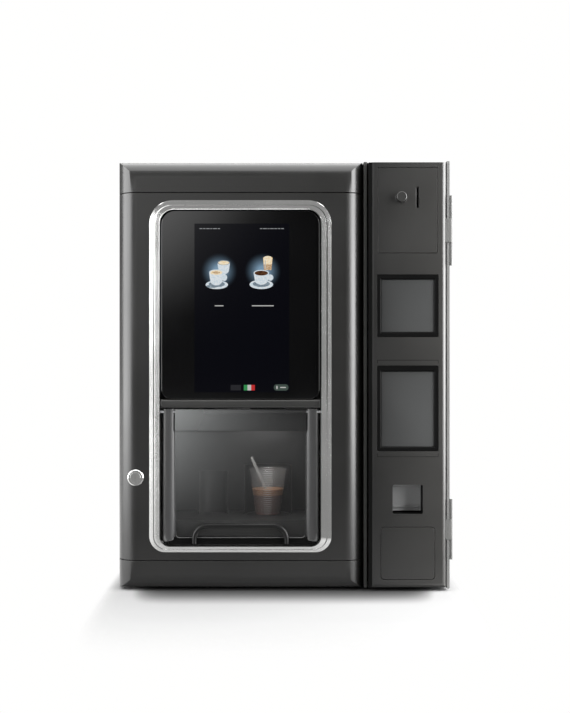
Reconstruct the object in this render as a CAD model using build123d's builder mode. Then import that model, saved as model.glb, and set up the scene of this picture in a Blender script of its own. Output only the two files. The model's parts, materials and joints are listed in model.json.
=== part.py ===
from build123d import *
import math
import os

# A tabletop hot coffee vending machine: a cabinet with a front door, a cup flap in the
# door, and a payment column with its own door on the right.
# Millimetres. X to the right, the front faces -Y, Z up, origin on the floor at the centre.

os.makedirs("parts", exist_ok=True)

# ------------------------------------------------------------------ driving dimensions
overall_width = 580.0
overall_depth = 560.0
overall_height = 750.0

# Cabinet
column_width = 150.0
sheet = 2.0
touch_gap = 0.3
skirt_clearance = 4.0
foot_height = 12.0
foot_radius = 20.0
foot_inset = 45.0
post_depth = 15.0
side_panel_drop = 13.0
strike_width = 16.0

# Curved front: door, top cap and plinth share one section
front_radius = 35.0
rim_depth = 4.0
moulding_wall = 3.0
button_proud = 12.0
cap_height = 55.0
cap_top_radius = 30.0
plinth_height = 49.0
plinth_bottom_radius = 26.0
seam = 1.5
door_gap = 1.0

# Chrome ring round the door's opening
ring_border = 56.5
ring_bottom_gap = 14.0
ring_top_gap = 12.5
ring_side = 20.0
ring_top = 17.0
ring_bottom = 11.0
ring_top_radius = 41.0
ring_bottom_radius = 28.0
ring_proud = 5.5
ring_lap = 6.0
ring_depth = 14.0

# Display
display_height = 328.0
glass_thickness = 4.0
glass_recess = 1.0
glass_gap = 1.0
panel_width = 176.0
panel_height = 305.0
panel_depth = 9.0
panel_offset = 2.5
panel_above_glass_foot = 6.0
header_height = 16.0
header_depth = 12.0

# Cup flap
flap_side_gap = 1.5
flap_thickness = 10.0
flap_rail = 20.0
flap_hinge_radius = 5.0
flap_pin_radius = 2.5
flap_pin_gap = 0.05
flap_bottom_band = 15.0
flap_top_band = 13.0
flap_window_thickness = 3.0
grip_width = 168.0
grip_height = 36.0
grip_bar = 7.0
grip_proud = 6.0
grip_angle = 72.0
grip_corner = 14.0

# Door pivots and lock
pivot_radius = 4.0
pivot_gap = 0.05
pivot_reach = 9.0
lock_radius = 14.0
lock_barrel_radius = 9.0
lock_gap = 0.05
lock_above_door_bottom = 143.5
lock_from_left = 32.5
cam_length = 23.0
cam_width = 12.0
cam_thickness = 3.0
cam_behind_flange = 3.5

# Cup niche and cup stand
niche_wall = 2.5
niche_side_gap = 8.0
niche_depth = 137.0
niche_from_cabinet = 5.0
niche_floor = 66.0
niche_top = 332.0
tray_height = 45.0
grid_thickness = 4.0
grid_slot = 5.0
cup_offset_from_niche = 46.0
cup_from_front = 128.0
cup_rim_radius = 35.0
cup_base_radius = 24.0
cup_height = 84.0
cup_wall = 1.2
coffee_depth = 46.0
guide_gap = 8.0
guide_wall = 2.0
guide_height = 90.0
side_guide_radius = 26.0
side_guide_height = 78.0
guide_spacing = 30.0
stirrer_length = 112.0
stirrer_width = 5.0
stirrer_thickness = 1.2
stirrer_lean = 24.0
stirrer_lift = 3.5
nozzle_size = 64.0
nozzle_drop = 40.0
nozzle_spacing = 14.0
nozzle_tip = 12.0

# Inside the cabinet
shelf_height = 340.0
pivot_clear_radius = 40.0
bin_width = 210.0
bin_depth = 170.0
bin_height = 220.0
bin_from_left = 20.0
boiler_radius = 52.0
boiler_height = 180.0
boiler_side_gap = 20.0
boiler_back_gap = 50.0
pump_width = 60.0
pipe_radius = 4.0
pipe_bend = 30.0
pipe_drop = 50.0
brew_width = 100.0
brew_depth = 110.0
brew_height = 178.0
brew_bore = 22.0
piston_gap = 0.05
piston_travel = 20.0
piston_reach = 70.0
piston_head = 8.0
piston_head_radius = 30.0
bore_depth = 100.0
grinder_height = 80.0
hopper_height = 82.0
hopper_depth = 150.0
hopper_width = 112.0
hopper_wall = 2.5
hopper_slope = 35.0
canister_to_magazine = 14.4
canister_gap = 6.0
canisters_from_left = 128.0
canisters_from_shelf_front = 70.0
canister_depth = 230.0
canister_height = 190.0
canister_wall = 2.0
canister_shelf_height = 478.0
auger_radius = 14.0
auger_shaft = 3.0
auger_pitch = 24.0
auger_gap = 0.05
auger_disc = 1.6
auger_tilt = 14.0
tube_radius = 37.0
tube_wall = 1.5
tube_count = 3
tube_height = 300.0
spindle_radius = 6.0
spindle_gap = 0.05
hub_wall = 3.0
magazine_seat = 10.0
inlet_radius = 13.2
inlet_length = 15.0
inlet_height = 70.0
inlet_from_right = 60.0
inlet_hole_gap = 7.0
fan_radius = 40.0
fan_from_left = 95.0
fan_from_top = 145.0
fan_ring = 8.0
fan_depth = 30.0
fan_shaft = 3.0
fan_gap = 0.05
fan_blades = 7
stand_hole_radius = 4.25
stand_spacing_x = 280.0
stand_spacing_y = 340.0

# Payment column
mullion_width = 6.0
column_gap = 2.0
column_join = 0.6
column_strip = 5.2
column_strip_gap = 0.8
column_foot_gap = 2.0
column_top_gap = 3.0
column_wall = 4.0
column_edge_radius = 9.0
column_front_depth = 22.0
column_face = 5.0
insert_gap = 0.4
insert_lap = 4.0
insert_flange = 2.0
payment_width = 103.5
payment_height = 149.0
payment_top_gap = 9.0
slot_length = 36.0
slot_width = 3.6
slot_offset = 17.5
slot_rise = 22.5
button_radius = 8.75
button_offset = 11.5
button_gap = 0.08
module_width = 106.6
module_rim = 7.2
upper_module_height = 108.6
upper_module_bottom = 443.0
lower_module_height = 148.5
lower_module_bottom = 244.5
cover_recess = 3.0
cover_thickness = 2.5
return_width = 52.2
return_height = 50.4
return_bottom = 134.9
return_flap_height = 45.0
return_flap_swing = 45.0
return_wall = 2.0
return_flap_recess = 28.0
return_pin_radius = 1.5
bottom_cover_width = 94.0
bottom_cover_height = 91.3
bottom_cover_bottom = 20.9
bottom_cover_radius = 6.0
hinge_radius = 2.5
hinge_pin_radius = 1.2
hinge_pin_gap = 0.05
upper_hinge = (568.0, 690.0)
lower_hinge = (55.0, 160.0)
knuckle_gap = 0.3
changer_width = 125.0
changer_depth = 140.0
changer_height = 210.0
coin_tubes = 4
box_width = 110.0
box_depth = 180.0
box_height = 96.0

# ------------------------------------------------------------------ places that follow
left = -overall_width / 2
right = overall_width / 2
back = overall_depth / 2
front = -overall_depth / 2 + button_proud
main_right = right - column_width
door_back = front + front_radius + rim_depth
cabinet_front = door_back + door_gap
pivot_x = main_right - front_radius
pivot_y = front + front_radius
post_front = cabinet_front + post_depth
cap_bottom = overall_height - cap_height
plinth_top = skirt_clearance + plinth_height
door_bottom = plinth_top + seam
door_top = cap_bottom - seam
floor_top = foot_height + sheet
lid_bottom = overall_height - sheet

ring_left = left + ring_border
ring_right = main_right - ring_border
ring_low = door_bottom + ring_bottom_gap
ring_high = door_top - ring_top_gap
opening_left = ring_left + ring_side
opening_right = ring_right - ring_side
opening_low = ring_low + ring_bottom
opening_high = ring_high - ring_top

glass_top = opening_high - glass_gap
glass_bottom = glass_top - display_height
header_bottom = glass_bottom - header_height
flap_top = header_bottom - flap_side_gap
flap_bottom = opening_low + flap_side_gap
flap_left = opening_left + flap_side_gap
flap_right = opening_right - flap_side_gap
flap_y = front + 4.0
flap_axis_y = flap_y + flap_hinge_radius
flap_axis_z = flap_top - flap_hinge_radius


# ------------------------------------------------------------------ helpers
def middle(limits):
    return (limits[0] + limits[1]) / 2


def block(x, y, z, mode=Mode.ADD):
    """A box between two limits on each axis, in the part being built."""
    with Locations((middle(x), middle(y), middle(z))):
        Box(x[1] - x[0], y[1] - y[0], z[1] - z[0], mode=mode)


def rod(centre, radius, length, turn=(0, 0, 0), mode=Mode.ADD):
    """A cylinder about its centre: along Z, or turned to lie along X or Y."""
    with Locations(centre):
        Cylinder(radius, length, rotation=turn, mode=mode)


ALONG_X = (0, 90, 0)
ALONG_Y = (90, 0, 0)


def front_plate(x, z, y, top_radius=0.0, bottom_radius=0.0, mode=Mode.ADD):
    """A plate that faces the front, with rounded corners, from y[0] back to y[1]."""
    with BuildSketch(Plane.XZ.offset(-y[0])) as outline:
        with Locations((middle(x), middle(z))):
            Rectangle(x[1] - x[0], z[1] - z[0])
        if top_radius > 0:
            fillet(outline.vertices().group_by(Axis.Y)[-1], top_radius)
        if bottom_radius > 0:
            fillet(outline.vertices().group_by(Axis.Y)[0], bottom_radius)
    extrude(outline.sketch, amount=y[0] - y[1], mode=mode)


def rounded_front(x, z, y_back, side_radius, top_radius=0.0, bottom_radius=0.0):
    """A block whose front rolls back at its edges; the rolled edges meet in mitres."""
    with BuildSketch(Plane.XY.offset(z[0])) as section:
        with Locations((middle(x), middle((front, y_back)))):
            Rectangle(x[1] - x[0], y_back - front)
        fillet(section.vertices().group_by(Axis.Y)[0], side_radius)
    extrude(section.sketch, amount=z[1] - z[0])
    with BuildSketch(Plane.YZ.offset(x[0])) as profile:
        with Locations((middle((front, y_back)), middle(z))):
            Rectangle(y_back - front, z[1] - z[0])
        front_corners = profile.vertices().group_by(Axis.X)[0].sort_by(Axis.Y)
        if bottom_radius > 0:
            fillet(front_corners[0], bottom_radius)
        if top_radius > 0:
            fillet(front_corners[-1], top_radius)
    extrude(profile.sketch, amount=x[1] - x[0], mode=Mode.INTERSECT)


def save(builder, name):
    builder.part.label = name
    export_step(builder.part, f"parts/{name}.step")


# ------------------------------------------------------------------ cabinet shell
with BuildPart() as base_plate:
    block((left + sheet, main_right), (post_front, back - sheet), (foot_height, floor_top))
    with Locations((middle((left, main_right)), middle((post_front, back)), floor_top)):
        with GridLocations(stand_spacing_x, stand_spacing_y, 2, 2):
            Hole(stand_hole_radius)
save(base_plate, "base_plate")

with BuildPart() as feet:
    foot_x = right - foot_inset
    for x in (-foot_x, foot_x):
        for y in (post_front + foot_radius + sheet, back - foot_inset):
            rod((x, y, foot_height / 2), foot_radius, foot_height)
    fillet(feet.faces().group_by(Axis.Z)[0].edges(), sheet)
save(feet, "feet")

# The side panel is notched round the cap and the plinth, and its front flange is
# the strike that the lock's cam turns behind.
side_top = overall_height - side_panel_drop
with BuildPart() as left_side_panel:
    block((left, left + sheet), (cabinet_front, back), (skirt_clearance, side_top))
    block((left, left + strike_width), (cabinet_front, cabinet_front + sheet), (door_bottom, door_top))
    block((left, left + sheet), (cabinet_front, post_front), (door_top, side_top), Mode.SUBTRACT)
    block((left, left + sheet), (cabinet_front, post_front), (skirt_clearance, door_bottom), Mode.SUBTRACT)
save(left_side_panel, "left_side_panel")

partition_top = lid_bottom - sheet
with BuildPart() as partition:
    block((main_right - sheet, main_right), (post_front, back - sheet), (floor_top, partition_top))
save(partition, "partition")

# Back panel: vents low down, a ring that carries the fan, and a cut-out for the inlet.
fan_x = left + fan_from_left
fan_z = overall_height - fan_from_top
inlet_x = main_right - inlet_from_right
grille_pitch = 10.0
grille_slot = 5.0
spoke_width = 8.0
vent_below_shelf = 170.0
vent_length = 110.0
vent_width = 5.0
vent_pitch = 14.0
vent_rows = 8
back_top = overall_height - 8.0
with BuildPart() as back_panel:
    block((left + sheet, main_right), (back - sheet, back), (skirt_clearance, back_top))
    rod((fan_x, back - fan_depth / 2, fan_z), fan_radius + fan_ring, fan_depth, ALONG_Y)
    rod((fan_x, back - fan_depth / 2 - sheet, fan_z), fan_radius + 2, fan_depth, ALONG_Y, Mode.SUBTRACT)
    for row in range(-3, 4):
        slot_middle = fan_z + row * grille_pitch
        chord = math.sqrt(fan_radius ** 2 - (row * grille_pitch) ** 2) - 3.0
        block((fan_x - chord, fan_x + chord), (back - sheet, back),
              (slot_middle - grille_slot / 2, slot_middle + grille_slot / 2), Mode.SUBTRACT)
    block((fan_x - spoke_width / 2, fan_x + spoke_width / 2), (back - sheet, back),
          (fan_z - fan_radius - 3, fan_z + fan_radius + 3))
    rod((fan_x, back - fan_depth / 2, fan_z), fan_shaft, fan_depth, ALONG_Y)
    for row in range(vent_rows):
        low = shelf_height - vent_below_shelf + row * vent_pitch
        block((fan_x - vent_length / 2, fan_x + vent_length / 2), (back - sheet, back),
              (low, low + vent_width), Mode.SUBTRACT)
    rod((inlet_x, back, inlet_height), inlet_radius + inlet_hole_gap, 4 * sheet, ALONG_Y, Mode.SUBTRACT)
save(back_panel, "back_panel")

# Top cap and plinth: the door's section, rounded over, hollow towards the cabinet.
cap_wall = 4.0
with BuildPart() as top_cap:
    rounded_front((left, main_right), (cap_bottom, overall_height), post_front, front_radius,
                  top_radius=cap_top_radius)
    block((left + cap_wall, main_right - cap_wall), (front + cap_top_radius, post_front),
          (cap_bottom + moulding_wall, overall_height - cap_wall), Mode.SUBTRACT)
    rod((pivot_x, pivot_y, cap_bottom), pivot_radius, 4 * moulding_wall, mode=Mode.SUBTRACT)
save(top_cap, "top_cap")

with BuildPart() as plinth:
    rounded_front((left, main_right), (skirt_clearance, plinth_top), post_front, front_radius,
                  bottom_radius=plinth_bottom_radius)
    block((left + cap_wall, main_right - cap_wall), (front + cap_top_radius, post_front),
          (skirt_clearance + cap_wall, plinth_top - moulding_wall), Mode.SUBTRACT)
    rod((pivot_x, pivot_y, plinth_top), pivot_radius, 4 * moulding_wall, mode=Mode.SUBTRACT)
save(plinth, "plinth")

with BuildPart() as door_pivot_pins:
    pin_half = moulding_wall + seam + pivot_reach
    for z in (cap_bottom + moulding_wall - pin_half / 2, plinth_top - moulding_wall + pin_half / 2):
        rod((pivot_x, pivot_y, z), pivot_radius, pin_half)
save(door_pivot_pins, "door_pivot_pins")

# Top lid: a tray that lifts at the front and turns about pins along its rear edge.
lid_barrel = 3.5
lid_axis_y = back - 4.0
lid_axis_z = overall_height - lid_barrel
hinge_leaf_height = 25.0
lid_pin = 1.6
lid_hinge_spread = 150.0
lid_knuckle = 20.0
lid_left = left
lid_right = main_right - 1.0
lid_front = post_front + touch_gap
with BuildPart() as top_lid:
    block((lid_left, lid_right), (lid_front, lid_axis_y), (lid_bottom, overall_height))
    block((lid_left, lid_left + sheet), (lid_front, lid_axis_y - 6), (side_top + touch_gap, lid_bottom))
    for x in (-lid_hinge_spread, lid_hinge_spread):
        place = middle((left, main_right)) + x
        rod((place, lid_axis_y, lid_axis_z), lid_barrel, lid_knuckle, ALONG_X)
        for side in (-1, 1):
            edge = place + side * lid_knuckle
            block((edge - lid_knuckle / 2 - touch_gap, edge + lid_knuckle / 2 + touch_gap),
                  (lid_axis_y - lid_barrel - 1.5, back), (lid_bottom - 8, overall_height), Mode.SUBTRACT)
        rod((place, lid_axis_y, lid_axis_z), lid_pin + pivot_gap, 3 * lid_knuckle + 2, ALONG_X, Mode.SUBTRACT)
save(top_lid, "top_lid")

with BuildPart() as lid_hinges:
    for x in (-lid_hinge_spread, lid_hinge_spread):
        place = middle((left, main_right)) + x
        for side in (-1, 1):
            rod((place + side * lid_knuckle, lid_axis_y, lid_axis_z), lid_barrel,
                lid_knuckle - touch_gap, ALONG_X)
            edge = place + side * lid_knuckle
            block((edge - lid_knuckle / 2 + 1, edge + lid_knuckle / 2 - 1),
                  (back - sheet - 3, back - sheet), (back_top - hinge_leaf_height, lid_axis_z))
        rod((place, lid_axis_y, lid_axis_z), lid_pin, 3 * lid_knuckle - 1, ALONG_X)
save(lid_hinges, "lid_hinges")


# ------------------------------------------------------------------ main door
door_wall = moulding_wall
stiffener_width = 14.0
stiffener_half_length = 40.0
door_middle = middle((door_bottom, door_top))
lock_x = left + lock_from_left
lock_z = door_bottom + lock_above_door_bottom
opening_hole_x = (ring_left + ring_lap, ring_right - ring_lap)
opening_hole_z = (ring_low + ring_lap, ring_high - ring_lap)
with BuildPart() as door_panel:
    rounded_front((left, main_right), (door_bottom, door_top), door_back, front_radius)
    offset(amount=-door_wall, openings=door_panel.faces().sort_by(Axis.Y)[-1])
    front_plate(opening_hole_x, opening_hole_z, (front - 1, front + door_wall + 1),
                ring_top_radius - ring_lap, ring_bottom_radius - ring_lap, Mode.SUBTRACT)
    for z in (door_bottom, door_top):
        rod((pivot_x, pivot_y, z), pivot_radius + pivot_gap, 3 * door_wall, mode=Mode.SUBTRACT)
    rod((lock_x, front, lock_z), lock_radius + lock_gap, 8 * door_wall, ALONG_Y, Mode.SUBTRACT)
    for corner_x in (left + door_wall, main_right - door_wall - stiffener_width):
        block((corner_x, corner_x + stiffener_width), (door_back - 5, door_back - sheet),
              (door_middle - stiffener_half_length, door_middle + stiffener_half_length))
save(door_panel, "door_panel")

# The ring laps over the door's face and runs back through the opening.
with BuildPart() as chrome_ring:
    front_plate((ring_left, ring_right), (ring_low, ring_high), (front - ring_proud, front),
                ring_top_radius, ring_bottom_radius)
    outer_edges = chrome_ring.faces().sort_by(Axis.Y)[0].edges()
    fillet(outer_edges, ring_proud - 1.0)
    front_plate(opening_hole_x, opening_hole_z, (front, front + ring_depth),
                ring_top_radius - ring_lap, ring_bottom_radius - ring_lap)
    front_plate((opening_left, opening_right), (opening_low, opening_high),
                (front - ring_proud - 1, front + ring_depth + 1),
                ring_top_radius - ring_top, ring_bottom_radius - ring_bottom, Mode.SUBTRACT)
    rod((middle((opening_left, opening_right)), flap_axis_y, flap_axis_z), flap_pin_radius,
        opening_right - opening_left + ring_side, ALONG_X, Mode.SUBTRACT)
save(chrome_ring, "chrome_ring")

glass_x = (opening_left + glass_gap, opening_right - glass_gap)
glass_y = (front + glass_recess, front + glass_recess + glass_thickness)
glass_top_radius = ring_top_radius - ring_top
glass_bottom_radius = ring_bottom_radius - ring_bottom
with BuildPart() as display_glass:
    front_plate(glass_x, (glass_bottom, glass_top), glass_y, glass_top_radius, glass_bottom_radius)
save(display_glass, "display_glass")

# The flat screen sits in the middle of the glass, a little nearer its foot.
panel_x = middle(glass_x) + panel_offset
panel_z = glass_bottom + panel_above_glass_foot + panel_height / 2
panel_y = (glass_y[1], glass_y[1] + panel_depth)
with BuildPart() as display_panel:
    front_plate((panel_x - panel_width / 2, panel_x + panel_width / 2),
                (panel_z - panel_height / 2, panel_z + panel_height / 2), panel_y, 2, 2)
save(display_panel, "display_panel")

# Header bar between the screen and the flap, held in the ring's sides.
with BuildPart() as flap_header:
    block((opening_left, opening_right), (front + 0.5, front + 0.5 + header_depth),
          (header_bottom, glass_bottom - 0.5))
    fillet(flap_header.faces().sort_by(Axis.Y)[0].edges().filter_by(Axis.X), 5)
save(flap_header, "flap_header")

# Carrier behind the ring: a dished frame that fills the door's back round the niche.
carrier_x = (left + door_wall, main_right - door_wall)
carrier_bottom = header_bottom + 4.0
boss = 8.0
cover_slots = 6
cover_slot_pitch = 12.0
cover_slot_length = 90.0
with BuildPart() as door_back_cover:
    block((carrier_x[0], pivot_x - pivot_radius - boss), (door_back - sheet, door_back),
          (carrier_bottom, door_top - door_wall))
    block((glass_x[0] + 4, glass_x[1] - 4), (panel_y[1], door_back - sheet),
          (glass_bottom + 10, glass_top - 14))
    block((glass_x[0] + 7, glass_x[1] - 7), (panel_y[1] + 3, door_back - sheet),
          (glass_bottom + 13, glass_top - 17), Mode.SUBTRACT)
    for row in range(cover_slots):
        low = panel_z + 20 + row * cover_slot_pitch
        block((panel_x - cover_slot_length / 2, panel_x + cover_slot_length / 2),
              (door_back - sheet, door_back), (low, low + 4), Mode.SUBTRACT)
    front_plate((panel_x - panel_width * 3 / 8, panel_x + panel_width * 3 / 8), (panel_z - 110, panel_z - 20),
                (door_back - sheet, door_back - sheet + 1), 6, 6)
save(door_back_cover, "door_back_cover")

# Cylinder lock: the housing is fixed, the barrel turns and carries the cam.
lock_front = front - 1.0
with BuildPart() as lock_housing:
    rod((lock_x, middle((lock_front, door_back - 3)), lock_z), lock_radius,
        door_back - 3 - lock_front, ALONG_Y)
    chamfer(lock_housing.faces().sort_by(Axis.Y)[0].edges(), 1.2)
    rod((lock_x, middle((lock_front, door_back)), lock_z), lock_barrel_radius + lock_gap,
        2 * (door_back - lock_front), ALONG_Y, Mode.SUBTRACT)
save(lock_housing, "lock_housing")

cam_front = cabinet_front + sheet + cam_behind_flange
cam_y = (cam_front, cam_front + cam_thickness)
key_length = 9.0
key_width = 1.8
with BuildPart() as lock_barrel:
    rod((lock_x, middle((lock_front - 0.5, cam_y[0])), lock_z), lock_barrel_radius,
        cam_y[0] - lock_front + 0.5, ALONG_Y)
    block((lock_x - key_width / 2, lock_x + key_width / 2), (lock_front - 2, lock_front + 5),
          (lock_z - key_length / 2, lock_z + key_length / 2), Mode.SUBTRACT)
    with BuildSketch(Plane.XZ.offset(-cam_y[0])) as cam:
        with Locations((lock_x, lock_z)):
            Circle(cam_width / 2)
        with Locations((lock_x, lock_z - cam_length / 2)):
            Rectangle(cam_width, cam_length)
        with Locations((lock_x, lock_z - cam_length)):
            Circle(cam_width / 2)
    extrude(cam.sketch, amount=-cam_thickness)
save(lock_barrel, "lock_barrel")


# ------------------------------------------------------------------ cup flap
window_x = (flap_left + flap_rail, flap_right - flap_rail)
window_z = (flap_bottom + flap_bottom_band, flap_top - flap_top_band)
window_y = (flap_axis_y - flap_window_thickness / 2, flap_axis_y + flap_window_thickness / 2)
lip = 3.0
grip_x = middle((flap_left, flap_right))
grip_z = (flap_bottom + 1.0, flap_bottom + 1.0 + grip_height)
with BuildPart() as flap_frame:
    front_plate((flap_left, flap_right), (flap_bottom, flap_top), (flap_y, flap_y + flap_thickness),
                0, glass_bottom_radius - flap_side_gap)
    long_edges = flap_frame.faces().sort_by(Axis.Z)[-1].edges().filter_by(Axis.X)
    fillet(long_edges, flap_hinge_radius - 0.01)
    front_plate((window_x[0] + lip, window_x[1] - lip), (window_z[0] + lip, window_z[1] - lip),
                (flap_y - 1, flap_y + flap_thickness + 1), 3, 3, Mode.SUBTRACT)
    block(window_x, window_y, window_z, Mode.SUBTRACT)
    with BuildSketch(Plane.XZ.offset(-flap_y)) as arch:
        with Locations((grip_x, middle(grip_z))):
            Trapezoid(grip_width, grip_height, grip_angle)
        fillet(arch.vertices().group_by(Axis.Y)[-1], grip_corner)
        with Locations((grip_x, middle(grip_z) - grip_bar)):
            Trapezoid(grip_width - 2 * grip_bar, grip_height, grip_angle, mode=Mode.SUBTRACT)
    extrude(arch.sketch, amount=grip_proud)
    block((grip_x - grip_width / 2, grip_x + grip_width / 2), (flap_y, window_y[0]),
          (flap_bottom + flap_bottom_band, grip_z[1]))
    with BuildSketch(Plane.XZ.offset(-flap_y + 0.01)) as behind_arch:
        with Locations((grip_x, middle(grip_z) - grip_bar)):
            Trapezoid(grip_width - 2 * grip_bar, grip_height, grip_angle)
    extrude(behind_arch.sketch, amount=-(window_y[0] - flap_y) - 0.01, mode=Mode.SUBTRACT)
    rod((grip_x, flap_axis_y, flap_axis_z), flap_pin_radius + flap_pin_gap,
        2 * overall_width, ALONG_X, Mode.SUBTRACT)
save(flap_frame, "flap_frame")

with BuildPart() as flap_window:
    block(window_x, window_y, window_z)
save(flap_window, "flap_window")

with BuildPart() as flap_pin:
    rod((grip_x, flap_axis_y, flap_axis_z), flap_pin_radius,
        opening_right - opening_left + ring_side, ALONG_X)
save(flap_pin, "flap_pin")


# ------------------------------------------------------------------ cup niche
niche_x = (opening_left + niche_side_gap, opening_right - niche_side_gap)
niche_front = cabinet_front + niche_from_cabinet
niche_back = niche_front + niche_depth
cup_x = middle(niche_x) + cup_offset_from_niche
cup_y = front + cup_from_front
nozzle_y = cup_y
nozzle_hole = nozzle_size + 4.0
steam_slots = 5
steam_slot_pitch = 9.0
steam_slot_length = 60.0
with BuildPart() as niche_liner:
    block((niche_x[0] - niche_wall, niche_x[1] + niche_wall), (niche_front, niche_back + niche_wall),
          (floor_top, niche_top))
    block(niche_x, (niche_front, niche_back), (niche_floor + niche_wall, niche_top - niche_wall),
          Mode.SUBTRACT)
    block(niche_x, (post_front + niche_wall, niche_back + niche_wall), (floor_top, niche_floor),
          Mode.SUBTRACT)
    block((niche_x[0] - niche_wall, niche_x[1] + niche_wall), (niche_front, post_front),
          (floor_top, door_bottom), Mode.SUBTRACT)
    block((cup_x - nozzle_hole / 2, cup_x + nozzle_hole / 2),
          (nozzle_y - nozzle_hole / 2, nozzle_y + nozzle_hole / 2),
          (niche_top - niche_wall, niche_top), Mode.SUBTRACT)
    for row in range(steam_slots):
        low = niche_top - 60.0 + row * steam_slot_pitch
        block((niche_x[0] + 14, niche_x[0] + 14 + steam_slot_length), (niche_back, niche_back + niche_wall),
              (low, low + 4), Mode.SUBTRACT)
save(niche_liner, "niche_liner")

tray_bottom = niche_floor + niche_wall
tray_top = tray_bottom + tray_height
tray_x = (niche_x[0] + 2, niche_x[1] - 2)
tray_y = (niche_front + 3, niche_back - 5)
with BuildPart() as drip_tray:
    block(tray_x, tray_y, (tray_bottom, tray_top))
    block((tray_x[0] + sheet, tray_x[1] - sheet), (tray_y[0] + sheet, tray_y[1] - sheet),
          (tray_bottom + sheet, tray_top), Mode.SUBTRACT)
save(drip_tray, "drip_tray")

# Cup stand: a slotted grid with two half-round guides that steady the cups from behind.
guide_radius = cup_rim_radius + guide_gap
side_guide_x = cup_x - guide_radius - guide_wall - side_guide_radius - guide_spacing
grid_top = tray_top + grid_thickness
with BuildPart() as cup_stand:
    block(tray_x, tray_y, (tray_top, grid_top))
    guides = ((cup_x, guide_radius, guide_height), (side_guide_x, side_guide_radius, side_guide_height))
    for x, radius, height in guides:
        for row in range(-3, 3):
            y = cup_y + 2 + row * 2 * grid_slot
            far_side = max(abs(y - cup_y), abs(y + grid_slot - cup_y))
            if far_side < radius - 8:
                half = math.sqrt(radius ** 2 - far_side ** 2) - 4
                block((x - half, x + half), (y, y + grid_slot), (tray_top, grid_top), Mode.SUBTRACT)
        with BuildSketch(Plane.XY.offset(grid_top)) as guide:
            with Locations((x, cup_y)):
                Circle(radius + guide_wall)
                Circle(radius, mode=Mode.SUBTRACT)
            with Locations((x, cup_y - radius)):
                Rectangle(4 * radius, 2 * radius, mode=Mode.SUBTRACT)
        extrude(guide.sketch, amount=height)
save(cup_stand, "cup_stand")

# Clear ribbed cup, the coffee in it and the stirrer that leans on its rim.
# Ribs and their pitch are shares of the cup's height.
rib_count = 6
first_rib = 0.38
rib_pitch = 0.08
with BuildPart() as cup:
    with BuildSketch(Plane.XZ) as cup_wall_section:
        with BuildLine():
            Polyline((0, 0), (cup_base_radius, 0), (cup_rim_radius, cup_height),
                     (cup_rim_radius - cup_wall, cup_height),
                     (cup_base_radius - cup_wall, cup_wall), (0, cup_wall), (0, 0))
        make_face()
    revolve(cup_wall_section.sketch, axis=Axis.Z)
    for row in range(rib_count):
        z = cup_height * (first_rib + rib_pitch * row)
        radius = cup_base_radius + (cup_rim_radius - cup_base_radius) * z / cup_height
        with Locations((0, 0, z)):
            Torus(radius - 0.2, 0.8)
    with Locations((0, 0, cup_height - 1.0)):
        Torus(cup_rim_radius - 0.4, 1.2)
cup.part = Pos(cup_x, cup_y, grid_top) * cup.part
save(cup, "cup")

with BuildPart() as stirrer:
    Box(stirrer_width, stirrer_thickness, stirrer_length)
    fillet(stirrer.edges().filter_by(Axis.Y), stirrer_width / 2 - 0.1)
stirrer_foot = Location((cup_x + 15.0, cup_y, grid_top + stirrer_lift), (0, -stirrer_lean, 0))
stirrer.part = stirrer_foot * Pos(0, 0, stirrer_length / 2) * stirrer.part
save(stirrer, "stirrer")

coffee_gap = 0.1
coffee_top = cup_wall + coffee_depth
wall_slope = (cup_rim_radius - cup_base_radius) / (cup_height - cup_wall)
coffee_low_radius = cup_base_radius - cup_wall - coffee_gap
with BuildPart() as coffee:
    with BuildSketch(Plane.XZ) as coffee_section:
        with BuildLine():
            Polyline((0, cup_wall), (coffee_low_radius, cup_wall),
                     (coffee_low_radius + wall_slope * coffee_depth, coffee_top),
                     (0, coffee_top), (0, cup_wall))
        make_face()
    revolve(coffee_section.sketch, axis=Axis.Z)
coffee.part = Pos(cup_x, cup_y, grid_top) * coffee.part
with BuildPart() as stirred_coffee:
    add(coffee.part)
    add(stirrer.part, mode=Mode.SUBTRACT)
save(stirred_coffee, "coffee")

nozzle_bottom = shelf_height - nozzle_drop
with BuildPart() as nozzle_block:
    block((cup_x - nozzle_size / 2, cup_x + nozzle_size / 2),
          (nozzle_y - nozzle_size / 2, nozzle_y + nozzle_size / 2), (nozzle_bottom, shelf_height))
    fillet(nozzle_block.edges().filter_by(Axis.Z), 8)
    for x in (-nozzle_spacing, 0.0, nozzle_spacing):
        rod((cup_x + x, nozzle_y, nozzle_bottom - nozzle_tip / 2), 4, nozzle_tip)
        rod((cup_x + x, nozzle_y, nozzle_bottom), 2, 60, mode=Mode.SUBTRACT)
save(nozzle_block, "nozzle_block")


# ------------------------------------------------------------------ service shelf
# The shelf spans the cabinet, carries the canister bridge and the spindle of the cup
# magazine, and has a hole for the hot water pipe.
shelf_front = pivot_y + pivot_clear_radius
shelf_top = shelf_height + sheet
inside = (left + sheet, main_right - sheet)
tube_circle = spindle_radius + spindle_gap + hub_wall + tube_radius - tube_wall / 2
magazine_radius = tube_circle + tube_radius + tube_wall
magazine_x = inside[1] - magazine_radius - 4.0
magazine_y = shelf_front + magazine_radius + 6.0
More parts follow.
